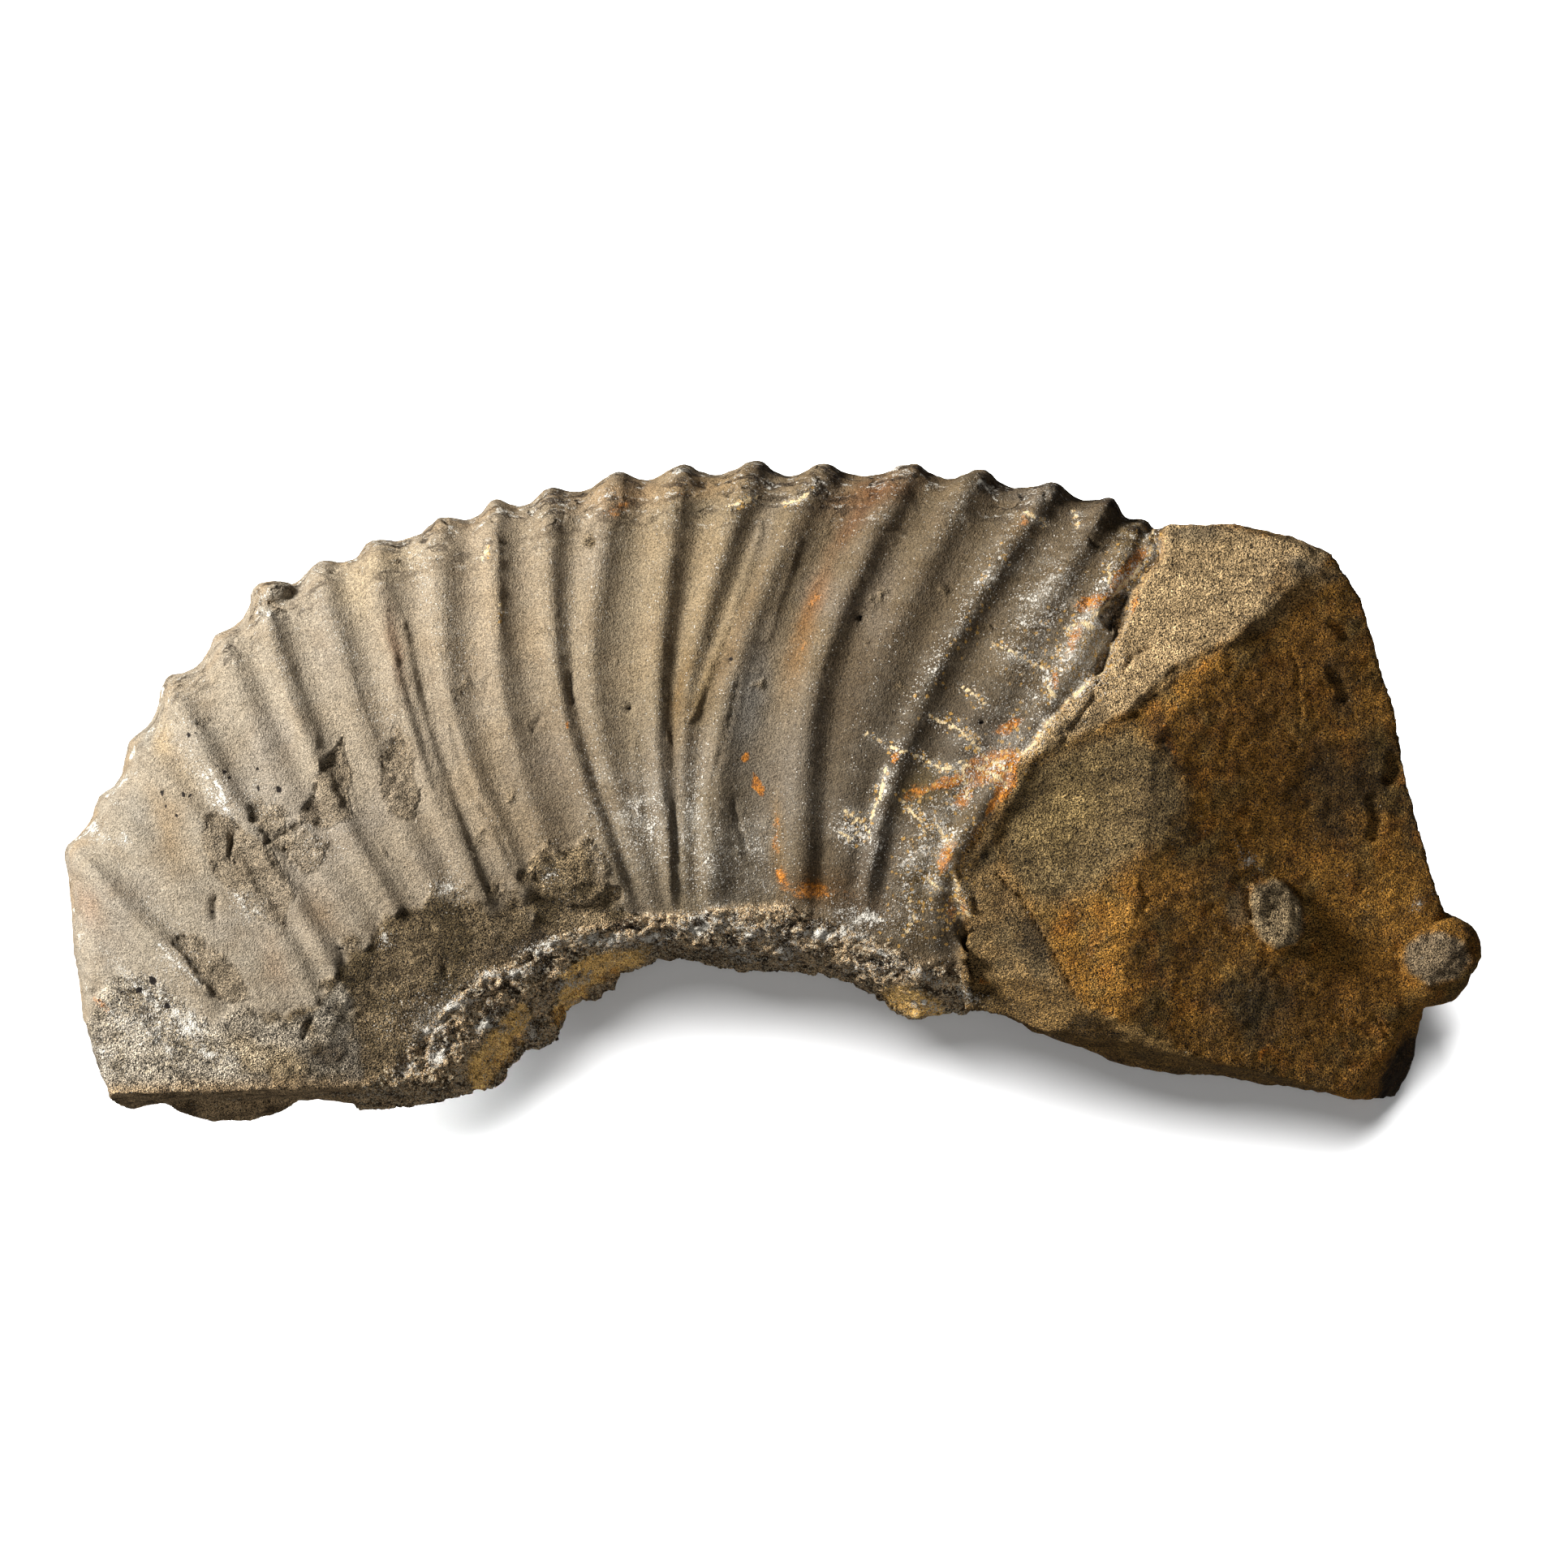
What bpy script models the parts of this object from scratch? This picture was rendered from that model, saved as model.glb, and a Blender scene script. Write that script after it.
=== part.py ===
"""Ammonite fossil section: part of one ribbed whorl of a large ammonite, with the matrix block that fills
its younger end, all one stone.

Metres, +Z up. The stone lies on its flank on z = 0, with the venter (the outer edge of the coil) towards +Y.
The whorl grows clockwise seen from above, from the broken foot at -X to the matrix block at +X.
"""

import bmesh
import bpy
import numpy as np
from mathutils import Matrix, Vector, noise

MM = 0.001

# Driving dimensions, in millimetres.
THICKNESS_AT_FOOT = 84.0
THICKNESS_AT_BLOCK = 102.0
RIB_RELIEF = 3.8  # crest above the furrow on a full rib
MIDDLE_LEVEL = 0.4  # share of the relief that lies below the whorl's mean surface
CREST_REACH = 0.15  # half width of a rib's rounded crest, as a share of the spacing
STATIONS_PER_RIB = 6
RING_POINTS = 26
END_DROP = 2.5  # how far the whorl's surface dips where the block begins
WORKING_SIZE = 600.0  # of the cubes that are trimmed, well over the stone's length
ROCK_EDGE = 13.0  # longest edge on the broken rock faces
MERGED_EDGE = 2.6  # rock edges shorter than this are closed up
LUMP_SUBDIVISIONS = 2
# Roughness of each surface: height and wavelength.
WHORL_ROUGHNESS = (0.8, 28)
BLOCK_ROUGHNESS = (1.6, 26)
LUMP_ROUGHNESS = (2.2, 10)

# One row a rib, oldest first. Plan places (x, y) of its crest at the venter, at mid flank, at the umbilical
# shoulder and at the inner rim, then its strength at the first three.
RIBS = [
    ((-205, -95), (-190, -130), (-174, -168), (-157, -203), (0.2, 0.15, 0.1)),
    ((-213, -72), (-195, -106), (-170, -148), (-152, -185), (0.3, 0.2, 0.1)),
    ((-217, -48), (-184, -92), (-160, -128), (-140, -168), (0.5, 0.4, 0.2)),
    ((-219, -20), (-180, -62), (-150, -109), (-130, -152), (0.9, 0.5, 0.3)),
    ((-209, -4), (-171, -47), (-140, -95), (-119, -138), (0.8, 0.05, 0.05)),
    ((-199, 14), (-162, -33), (-132, -83), (-110, -124), (0.8, 0.3, 0.2)),
    ((-188, 32), (-162, -13), (-128, -70), (-103, -110), (1.0, 0.8, 0.6)),
    ((-172, 47), (-150, -3), (-118, -63), (-96, -102), (0.9, 0.2, 0.1)),
    ((-160, 60), (-139, 2), (-109, -54), (-90, -93), (1.0, 0.8, 0.6)),
    ((-141, 69), (-125, 13), (-98, -47), (-82, -83), (0.9, 0.4, 0.2)),
    ((-124, 76), (-111, 15), (-88, -43), (-73, -74), (0.8, 0.7, 0.7)),
    ((-103, 83), (-97, 18), (-75, -39), (-62, -68), (0.9, 0.6, 0.5)),
    ((-86, 88), (-82, 23), (-64, -37), (-53, -60), (1.0, 0.6, 0.3)),
    ((-69, 92), (-65, 25), (-46, -36), (-39, -55), (1.0, 0.7, 0.7)),
    ((-48, 97), (-55, 27), (-38, -36), (-34, -52), (1.0, 0.5, 0.0)),
    ((-28, 99), (-35, 27), (-31, -36), (-28, -52), (1.0, 0.9, 0.7)),
    ((-5, 100), (-25, 28), (-26, -36), (-21, -54), (1.1, 0.4, 0.0)),
    ((17, 99), (-12, 30), (-19, -36), (-14, -56), (1.1, 0.7, 0.8)),
    ((44, 99), (14, 30), (9, -36), (8, -57), (1.1, 1.0, 0.9)),
    ((65, 97), (33, 32), (20, -36), (22, -60), (1.1, 0.15, 0.0)),
    ((88, 93), (49, 28), (29, -35), (34, -66), (1.1, 0.9, 0.7)),
    ((106, 88), (72, 30), (41, -35), (45, -70), (1.0, 0.2, 0.0)),
    ((116, 82), (88, 26), (52, -33), (54, -70), (0.6, 0.5, 0.6)),
    ((133, 80), (110, 17), (72, -36), (72, -76), (0.4, 0.4, 0.4)),
]
WHORL_END = 22.35  # row number where the whorl's surface stops against the block

# The whorl's cross-section: (share of the way from venter to umbilical shoulder, share of the thickness).
SECTION = [
    (0.000, 0.50),
    (0.012, 0.68),
    (0.060, 0.84),
    (0.150, 0.94),
    (0.300, 0.985),
    (0.500, 1.00),
    (0.750, 0.985),
    (0.930, 0.95),
    (1.060, 0.89),
    (1.180, 0.83),
    (1.280, 0.76),
    (1.345, 0.62),
    (1.345, 0.40),
    (1.300, 0.18),
    (1.200, 0.02),
    (0.950, -0.05),
    (0.600, -0.06),
    (0.300, -0.04),
    (0.120, 0.05),
    (0.030, 0.20),
]
SHOULDER = 1.0
INNER_RIM = 1.35

# The clean break across the older end, the plane through three points.
FOOT_BREAK = ((-203, -99, 85), (-100, -95.5, 85), (-150, -95, 10))
# Broken faces of the matrix block, each the plane through three points.
BLOCK_CENTRE = (140, -5, 45)
BLOCK_FACES = [
    ((112, 76, 92), (172, 65, 99), (72, 5, 96)),  # pale upper face
    ((75, 0, 97), (127, -10, 96), (72, -35, 90)),  # coarse face beside the whorl
    ((117, -70, 80), (190, -88, 50), (197, -5, 68)),  # long brown slope
    ((57, -28, 91), (92, -68, 86), (60, -67, 66)),  # grey face beside the inner rim
    ((92, -68, 89), (130, -85.5, 71.6), (110, -89, 66)),  # narrow front slope
    ((130, -85.5, 71.6), (172, -95, 54.6), (145, -90.5, 57)),
    ((60, -69, 75), (90, -82, 78), (90, -73, 5)),  # front side
    ((90, -82, 78), (112, -90, 64), (110, -82, 5)),
    ((112, -89, 64), (172, -96, 50), (140, -86, 5)),
    ((172, -96, 50), (190, -97, 40), (180, -92, 5)),
    ((198, -74, 47), (184, -95, 44), (197, -92, 12)),  # undercut corner
    ((112, 75, 92), (142, 76, 95), (140, 80, 40)),  # top side
    ((142, 76, 95), (172, 67, 98), (172, 72, 40)),
    ((172, 67, 97), (181, 54, 90), (181, 55, 20)),  # far side
    ((181, 54, 90), (188, 34, 78), (188, 35, 20)),
    ((188, 34, 78), (194, 16, 73), (194, 16, 20)),
    ((193, 18, 75), (207.5, -40, 60), (204.5, -38, 10)),
    ((209, -42, 60), (205, -66, 50), (202, -60, 5)),
    ((205, -66, 50), (197, -93, 15), (203, -66, 10)),
    ((119, 79, 50), (96, 42, 50), (119, 79, 90)),  # buried in the whorl
    ((50, -35, 50), (54, -75, 50), (50, -35, 90)),
    ((60, 0, -4), (160, 40, -4), (150, -60, -4)),  # under the resting plane
]
# Hollows in the block's faces: centre, radius and depth. A swell has a depth below zero.
HOLLOWS = [
    ((98, -14, 94), 32, 4.0),  # scooped flake
    ((166, -8, 76), 52, 4.0),
    ((204, -48, 58), 24, -2.0),
    ((196, 0, 45), 34, 3.0),
    ((206, -79, 42), 20, 2.5),
    ((148, -91, 40), 30, 2.5),
]
# Rounded lumps: centre and half sizes.
LUMPS = [
    ((155, -43, 71), (8.5, 10.5, 6.0)),  # nodule on the slope
    ((209.0, -51.5, 53), (10.5, 9.5, 9.0)),  # nodule at the far corner
    ((202, -54, 45), (15.5, 16.5, 14.0)),  # swelling that carries it
    ((47, -63, 47), (12.0, 8.0, 9.0)),  # crust on the inner rim
    ((32, -56, 58), (9.0, 7.0, 10.0)),
    ((14, -51, 46), (12.0, 7.0, 7.0)),
    ((-8, -49, 52), (11.0, 6.5, 9.0)),
    ((-34, -47, 45), (10.0, 6.0, 12.0)),
    ((-59, -58, 48), (11.0, 7.5, 9.0)),
    ((-75, -72, 46), (10.0, 9.0, 10.0)),
    ((-93, -85, 44), (10.0, 9.0, 13.0)),
    ((-108, -90, 52), (9.0, 8.0, 9.0)),
    ((-153, 57, 60), (9.0, 5.0, 22.0)),  # crust on the venter
    ((-170, -93, 10), (22.0, 8.5, 12.0)),  # ledge at the foot's break
    ((-122, -92, 14), (26.0, 5.5, 14.0)),
]


def between_rows(table, at):
    """Catmull-Rom values between the rows of a table, at fractional row numbers."""
    table = np.asarray(table, float)
    last = len(table) - 1
    low = np.clip(np.floor(at).astype(int), 0, last - 1)
    t = (at - low).reshape(at.shape + (1,) * (table.ndim - 1))
    a, b, c, d = (table[np.clip(low + k, 0, last)] for k in (-1, 0, 1, 2))
    return b + 0.5 * t * (c - a + t * (2 * a - 5 * b + 4 * c - d + t * (3 * (b - c) + d - a)))


def smooth_step(low, high, x):
    t = np.clip((x - low) / (high - low), 0, 1)
    return t * t * (3 - 2 * t)


def section_ring(count):
    """The closed cross-section, resampled evenly by length: shares (u, h) and outward directions."""
    turns = np.linspace(0, len(SECTION), 40 * len(SECTION), endpoint=False)
    loop = SECTION[-2:] + SECTION + SECTION[:3]
    fine = between_rows(loop, turns + 2)
    steps = np.linalg.norm((np.roll(fine, -1, 0) - fine) * (1.5, 1.0), axis=1)
    length = np.concatenate([[0], np.cumsum(steps)])
    at = np.linspace(0, length[-1], count, endpoint=False)
    ring = np.stack([np.interp(at, length[:-1], fine[:, k]) for k in (0, 1)], axis=1)
    tangent = (np.roll(ring, -1, 0) - np.roll(ring, 1, 0)) * (1.5, 1.0)
    outward = np.stack([-tangent[:, 1], tangent[:, 0]], axis=1)
    return ring, outward / np.linalg.norm(outward, axis=1)[:, None]


def rib_height(rows):
    """1 on a rib's rounded crest, falling to 0 in the middle of the hollow furrow."""
    away = np.abs((rows + 0.5) % 1 - 0.5)
    past = away - CREST_REACH
    furrow = 1 - 2 * CREST_REACH - 4 * past + 4 * past**2 / (1 - 2 * CREST_REACH)
    return np.where(past < 0, 1 - 2 * away**2 / CREST_REACH, furrow)


def whorl_points(rows, count):
    """Grid of points (row, ring place, xyz) on the ribbed whorl, in millimetres."""
    ring, outward = section_ring(count)
    plan = between_rows([rib[:4] for rib in RIBS], rows)
    strength = between_rows([rib[4] for rib in RIBS], rows)
    u, h = ring[:, 0], ring[:, 1]
    across = np.interp(u, (0, 0.5, SHOULDER, INNER_RIM), (0, 1, 2, 3))
    xy = np.stack([between_rows(line, across) for line in plan])
    thickness = np.interp(rows, (0, len(RIBS) - 1), (THICKNESS_AT_FOOT, THICKNESS_AT_BLOCK))
    share = np.stack([np.interp(u, (0, 0.5, SHOULDER), line) for line in strength])
    share *= smooth_step(1.12, 0.95, u) * smooth_step(-0.02, 0.35, h)
    lift = RIB_RELIEF * (share * (rib_height(rows)[:, None] - MIDDLE_LEVEL) - 0.5)
    lift -= END_DROP * smooth_step(WHORL_END - 0.4, WHORL_END, rows)[:, None]
    inward = plan[:, 2] - plan[:, 0]
    inward /= np.linalg.norm(inward, axis=1)[:, None]
    xy += (lift * outward[:, 0])[..., None] * inward[:, None, :]
    z = thickness[:, None] * h + lift * outward[:, 1]
    return np.concatenate([xy, z[..., None]], axis=2)


def cap_open_ends(bm):
    bmesh.ops.holes_fill(bm, edges=[e for e in bm.edges if e.is_boundary])
    bmesh.ops.recalc_face_normals(bm, faces=bm.faces)


def cut_away(bm, points, inside):
    """Removes what lies beyond the plane through three points, seen from inside, and closes the cut."""
    a, b, c = (Vector(p) for p in points)
    outward = (b - a).cross(c - a)
    if outward.dot(Vector(inside) - a) > 0:
        outward.negate()
    geometry = bm.verts[:] + bm.edges[:] + bm.faces[:]
    bmesh.ops.bisect_plane(
        bm, geom=geometry, plane_co=a, plane_no=outward, clear_outer=True, dist=1e-4
    )
    cap_open_ends(bm)


def loft(grid):
    """A closed tube through rings of points."""
    bm = bmesh.new()
    rings = [[bm.verts.new(Vector(p)) for p in ring] for ring in grid]
    for one, two in zip(rings, rings[1:]):
        for k in range(len(one)):
            n = (k + 1) % len(one)
            bm.faces.new((one[k], one[n], two[n], two[k]))
    cap_open_ends(bm)
    return bm


def roughen(bm, roughness, seed):
    """Moves each vertex along its normal by smooth noise."""
    amount, wavelength = roughness
    shift = Vector((seed, 2.3 * seed, -seed))
    bm.normal_update()
    offsets = [amount * noise.fractal(v.co / wavelength + shift, 0.9, 2.0, 2) for v in bm.verts]
    for vert, offset in zip(bm.verts, offsets):
        vert.co += vert.normal * offset


def even_triangles(bm, longest):
    """Splits long edges and merges short ones, so that the triangles come out near one size."""
    bmesh.ops.triangulate(bm, faces=bm.faces)
    for _ in range(6):
        edges = [e for e in bm.edges if e.calc_length() > longest]
        bmesh.ops.subdivide_edges(bm, edges=edges, cuts=1)
        bmesh.ops.triangulate(bm, faces=bm.faces)
        flat = [e for e in bm.edges if e.calc_face_angle() < 0.02]
        bmesh.ops.beautify_fill(bm, faces=bm.faces, edges=flat)
    bmesh.ops.remove_doubles(bm, verts=bm.verts, dist=MERGED_EDGE)


def hollow_out(bm):
    bm.normal_update()
    for vert in bm.verts:
        shift = 0
        for centre, radius, depth in HOLLOWS:
            near = max(0, 1 - (vert.co - Vector(centre)).length_squared / radius**2)
            shift -= depth * near**2
        vert.co += vert.normal * shift


def whorl():
    rows = np.arange(0, WHORL_END, 1 / STATIONS_PER_RIB)
    bm = loft(whorl_points(np.append(rows, WHORL_END), RING_POINTS))
    roughen(bm, WHORL_ROUGHNESS, 1)
    cut_away(bm, FOOT_BREAK, (0, 0, 0))
    bmesh.ops.triangulate(bm, faces=bm.faces)
    return bm


def block():
    """The matrix block: a cube trimmed to its broken faces, then roughened."""
    bm = bmesh.new()
    bmesh.ops.create_cube(bm, size=WORKING_SIZE, matrix=Matrix.Translation(BLOCK_CENTRE))
    for points in BLOCK_FACES:
        cut_away(bm, points, BLOCK_CENTRE)
    even_triangles(bm, ROCK_EDGE)
    hollow_out(bm)
    roughen(bm, BLOCK_ROUGHNESS, 3)
    return bm


def lump(centre, half_sizes, seed):
    bm = bmesh.new()
    matrix = Matrix.Translation(centre) @ Matrix.Diagonal((*half_sizes, 1))
    bmesh.ops.create_icosphere(bm, subdivisions=LUMP_SUBDIVISIONS, radius=1, matrix=matrix)
    roughen(bm, LUMP_ROUGHNESS, seed)
    return bm


def add_object(name, bm, collection):
    bmesh.ops.scale(bm, vec=(MM, MM, MM), verts=bm.verts)
    mesh = bpy.data.meshes.new(name)
    bm.to_mesh(mesh)
    bm.free()
    obj = bpy.data.objects.new(name, mesh)
    collection.objects.link(obj)
    return obj


def add_collection(name):
    collection = bpy.data.collections.new(name)
    bpy.context.scene.collection.children.link(collection)
    return collection


def boolean(target, other, operation):
    modifier = target.modifiers.new(f"{operation.lower()} {other.name}", "BOOLEAN")
    modifier.operation = operation
    modifier.object = other
    other.hide_render = True
    other.display_type = "WIRE"


def stone_material():
    material = bpy.data.materials.new("stone")
    material.use_nodes = True
    surface = material.node_tree.nodes["Principled BSDF"]
    surface.inputs["Base Color"].default_value = (0.33, 0.27, 0.19, 1)
    surface.inputs["Roughness"].default_value = 0.85
    surface.inputs["Metallic"].default_value = 0
    return material


def main():
    for obj in list(bpy.data.objects):
        bpy.data.objects.remove(obj)
    parts = add_collection("ammonite fossil section")
    helpers = add_collection("helpers")
    stone = add_object("ammonite_section", whorl(), parts)
    stone.data.materials.append(stone_material())
    boolean(stone, add_object("block", block(), helpers), "UNION")
    for number, (centre, half_sizes) in enumerate(LUMPS):
        shape = lump(centre, half_sizes, number + 5)
        boolean(stone, add_object(f"lump_{number}", shape, helpers), "UNION")
    table = bmesh.new()
    below = Matrix.Translation((0, 0, -WORKING_SIZE / 2))
    bmesh.ops.create_cube(table, size=WORKING_SIZE, matrix=below)
    boolean(stone, add_object("below_the_table", table, helpers), "DIFFERENCE")


main()
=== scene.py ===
"""Looks of the ammonite fossil section: its fine stone surface, colours, floor, light and camera.

Shapes are in millimetres in the frame of the CAD, and MM turns them into metres. Marks are given in
pixels of the 1932 x 1932 photograph, and lie on whatever part of the upper surface the camera sees
there. Each line of a table's text is one row.
"""

import itertools
import math

import bmesh
import bpy
import numpy as np
from mathutils import Matrix, Vector, kdtree

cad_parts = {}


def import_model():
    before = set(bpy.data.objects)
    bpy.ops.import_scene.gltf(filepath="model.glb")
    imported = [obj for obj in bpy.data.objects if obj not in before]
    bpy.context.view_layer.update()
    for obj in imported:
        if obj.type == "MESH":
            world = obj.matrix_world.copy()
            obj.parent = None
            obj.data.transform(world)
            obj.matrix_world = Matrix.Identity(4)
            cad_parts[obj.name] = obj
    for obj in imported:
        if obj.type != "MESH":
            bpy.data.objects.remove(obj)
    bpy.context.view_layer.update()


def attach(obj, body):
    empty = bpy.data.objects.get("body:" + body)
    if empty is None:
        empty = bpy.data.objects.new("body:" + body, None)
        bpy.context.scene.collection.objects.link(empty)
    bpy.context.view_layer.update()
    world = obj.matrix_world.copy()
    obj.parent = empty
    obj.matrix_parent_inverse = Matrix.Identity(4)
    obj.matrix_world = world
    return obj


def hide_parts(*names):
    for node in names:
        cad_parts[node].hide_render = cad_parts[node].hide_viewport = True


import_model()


def groups(text):
    """Groups of numbers, from text such as "120,45 130,60"."""
    return [tuple(float(number) for number in word.split(",")) for word in text.split()]


def table(text):
    """One row for each line of text: the list of its groups, then its single numbers."""
    rows = []
    for line in text.strip().splitlines():
        found = groups(line)
        rows.append(([g for g in found if len(g) > 1], *(g[0] for g in found if len(g) == 1)))
    return rows


MM = 0.001
NODE = "ammonite_section"

# Camera and photograph.
PHOTO_SIDE = 1932
LENS = 200.0
SENSOR = 36.0
ELEVATION = math.radians(84)
AIM = Vector((3.75, -1.93, 75)) * MM
DISTANCE = 2.683
BACKWARD = Vector((0, -math.cos(ELEVATION), math.sin(ELEVATION)))

# The whorl, as in the CAD.
THICKNESS_AT_FOOT = 84.0
THICKNESS_AT_BLOCK = 102.0
RIB_RELIEF = 3.8
MIDDLE_LEVEL = 0.4
CREST_REACH = 0.15
END_DROP = 1.0
WORKING_SIZE = 600.0
# Each rib's line over the whorl (outer edge, middle, shoulder, inner rim), and its strength at the
# first three of them.
RIBS = [row for (row,) in table("""
-205,-95 -190,-130 -174,-168 -157,-203 0.2,0.15,0.1
-213,-72 -195,-106 -170,-148 -152,-185 0.3,0.2,0.1
-217,-48 -184,-92 -160,-128 -140,-168 0.5,0.4,0.2
-219,-20 -180,-62 -150,-109 -130,-152 0.9,0.5,0.3
-209,-4 -171,-47 -140,-95 -119,-138 0.8,0.05,0.05
-199,14 -162,-33 -132,-83 -110,-124 0.8,0.3,0.2
-188,32 -162,-13 -128,-70 -103,-110 1,0.8,0.6
-172,47 -150,-3 -118,-63 -96,-102 0.9,0.2,0.1
-160,60 -139,2 -109,-54 -90,-93 1,0.8,0.6
-141,69 -125,13 -98,-47 -82,-83 0.9,0.4,0.2
-124,76 -111,15 -88,-43 -73,-74 0.8,0.7,0.7
-103,83 -97,18 -75,-39 -62,-68 0.9,0.6,0.5
-86,88 -82,23 -64,-37 -53,-60 1,0.6,0.3
-69,92 -65,25 -46,-36 -39,-55 1,0.7,0.7
-48,97 -55,27 -38,-36 -34,-52 1,0.5,0
-28,99 -35,27 -31,-36 -28,-52 1,0.9,0.7
-5,100 -25,28 -26,-36 -21,-54 1.1,0.4,0
17,99 -12,30 -19,-36 -14,-56 1.1,0.7,0.8
44,99 14,30 9,-36 8,-57 1.1,1,0.9
65,97 33,32 20,-36 22,-60 1.1,0.15,0
88,93 49,28 29,-35 34,-66 1.1,0.9,0.7
106,88 72,30 41,-35 45,-70 1,0.2,0
116,82 88,26 52,-33 54,-70 0.6,0.5,0.6
133,80 110,17 72,-36 72,-76 0.4,0.4,0.4
""")]
WHORL_END = 22.35
# Cross-section of the whorl: shares of its width and of its thickness.
SECTION = groups("""
0,0.5 0.012,0.68 0.06,0.84 0.15,0.94 0.3,0.985 0.5,1 0.75,0.985 0.93,0.95 1.06,0.89 \
1.18,0.83 1.28,0.76 1.345,0.62 1.345,0.4 1.3,0.18 1.2,0.02 0.95,-0.05 0.6,-0.06 0.3,-0.04 \
0.12,0.05 0.03,0.2
""")
SHOULDER = 1.0
INNER_RIM = 1.35
FOOT_BREAK = ((-203, -99, 85), (-100, -95.5, 85), (-150, -95, 10))
RESTING_PLANE = ((0, 0, 0), (100, 0, 0), (0, 100, 0))

# The matrix block, as in the CAD: its faces through three points each.
BLOCK_CENTRE = (140, -5, 45)
BLOCK_FACES = [row for (row,) in table("""
112,76,92 172,65,99 72,5,96
75,0,97 127,-10,96 72,-35,90
117,-70,80 190,-88,50 197,-5,68
57,-28,91 92,-68,86 60,-67,66
92,-68,89 130,-85.5,71.6 110,-89,66
130,-85.5,71.6 172,-95,54.6 145,-90.5,57
60,-69,75 90,-82,78 90,-73,5
90,-82,78 112,-90,64 110,-82,5
112,-89,64 172,-96,50 140,-86,5
172,-96,50 190,-97,40 180,-92,5
198,-74,47 184,-95,44 197,-92,12
112,75,92 142,76,95 140,80,40
142,76,95 172,67,98 172,72,40
172,67,97 181,54,90 181,55,20
181,54,90 188,34,78 188,35,20
188,34,78 194,16,73 194,16,20
193,18,75 207.5,-40,60 204.5,-38,10
209,-42,60 205,-66,50 202,-60,5
205,-66,50 197,-93,15 203,-66,10
119,79,50 96,42,50 119,79,90
50,-35,50 54,-75,50 50,-35,90
""")]
# Wide hollows and swellings of the block: centre, radius, depth.
HOLLOWS = table("""
98,-14,94 32 2
166,-8,76 52 3
204,-48,58 24 -2
196,0,45 34 3
206,-79,42 20 2.5
148,-91,40 30 2.5
""")
# Nodules and knobs of the crust: centre, half sizes.
LUMPS = table("""
155,-43,70 8.5,11,4.2
209,-51.5,52 10.5,9.5,8
202,-54,45 15.5,16.5,14
47,-63,47 12,8,9
32,-56,58 9,7,10
14,-51,46 12,7,7
-8,-49,52 11,6.5,9
-34,-47,45 10,6,12
-59,-58,48 11,7.5,9
-75,-72,46 10,9,10
-84,-79.5,45 7.5,6.5,9
-93,-85,44 10,9,13
-108,-90,52 9,8,9
-153,57,60 9,5,22
-170,-93,10 22,8.5,12
-122,-92,14 26,5.5,14
""")

# Fineness of the visual mesh.
STATIONS_PER_RIB = 20
RING_POINTS = 150
LUMP_SUBDIVISIONS = 4
VOXEL = 1.0
MOST_TRIANGLES = 197_000

# Where the whorl meets the block, in photo pixels.
BOUNDARY = groups("""
1436,600 1430,684 1400,729 1375,783 1359,828 1336,847 1304,873 1273,917 1250,940 1241,971 \
1225,1003 1202,1022 1185,1050 1176,1071 1182,1109 1190,1140 1184,1177 1190,1230 1185,1400
""")


# -------------------- numbers on arrays of places


def smooth_step(low, high, x):
    t = np.clip((x - low) / (high - low), 0, 1)
    return t * t * (3 - 2 * t)


def hashed(cell, seed):
    """Well mixed whole numbers for lattice cells."""
    x, y, z = (cell[:, k].astype(np.uint64) for k in range(3))
    h = x * np.uint64(0x9E3779B97F4A7C15) ^ y * np.uint64(0xC2B2AE3D27D4EB4F)
    salt = np.uint64(seed * 0x27D4EB2F165667C5 & 0xFFFFFFFFFFFFFFFF)
    h ^= z * np.uint64(0x165667B19E3779F9) + salt
    h ^= h >> np.uint64(29)
    h *= np.uint64(0xBF58476D1CE4E5B9)
    return h ^ (h >> np.uint64(32))


def noise(places, size, seed):
    """Smooth noise from about -1 to 1, with lumps about `size` across."""
    scaled = places / size + 31.7
    cell = np.floor(scaled).astype(np.int64)
    part = scaled - cell
    ease = part * part * part * (part * (part * 6 - 15) + 10)
    total = np.zeros(len(places))
    for corner in itertools.product((0, 1), repeat=3):
        h = hashed(cell + corner, seed)
        weight = np.ones(len(places))
        slope = np.zeros(len(places))
        for k in range(3):
            byte = ((h >> np.uint64(8 * k + 8)) & np.uint64(255)).astype(float) / 127.5 - 1
            slope += byte * (part[:, k] - corner[k])
            weight *= ease[:, k] if corner[k] else 1 - ease[:, k]
        total += weight * slope
    return 1.7 * total


def fractal(places, size, octaves, seed, gain=0.5):
    return sum(gain**k * noise(places, size / 2**k, seed + k) for k in range(octaves))


def ridged(places, size, octaves, seed):
    """Noise with sharp crests, from about 0 to 1."""
    rows = [0.5**k * (1 - np.abs(noise(places, size / 2**k, seed + k))) for k in range(octaves)]
    return sum(rows) / (2 - 0.5 ** (octaves - 1))


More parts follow.
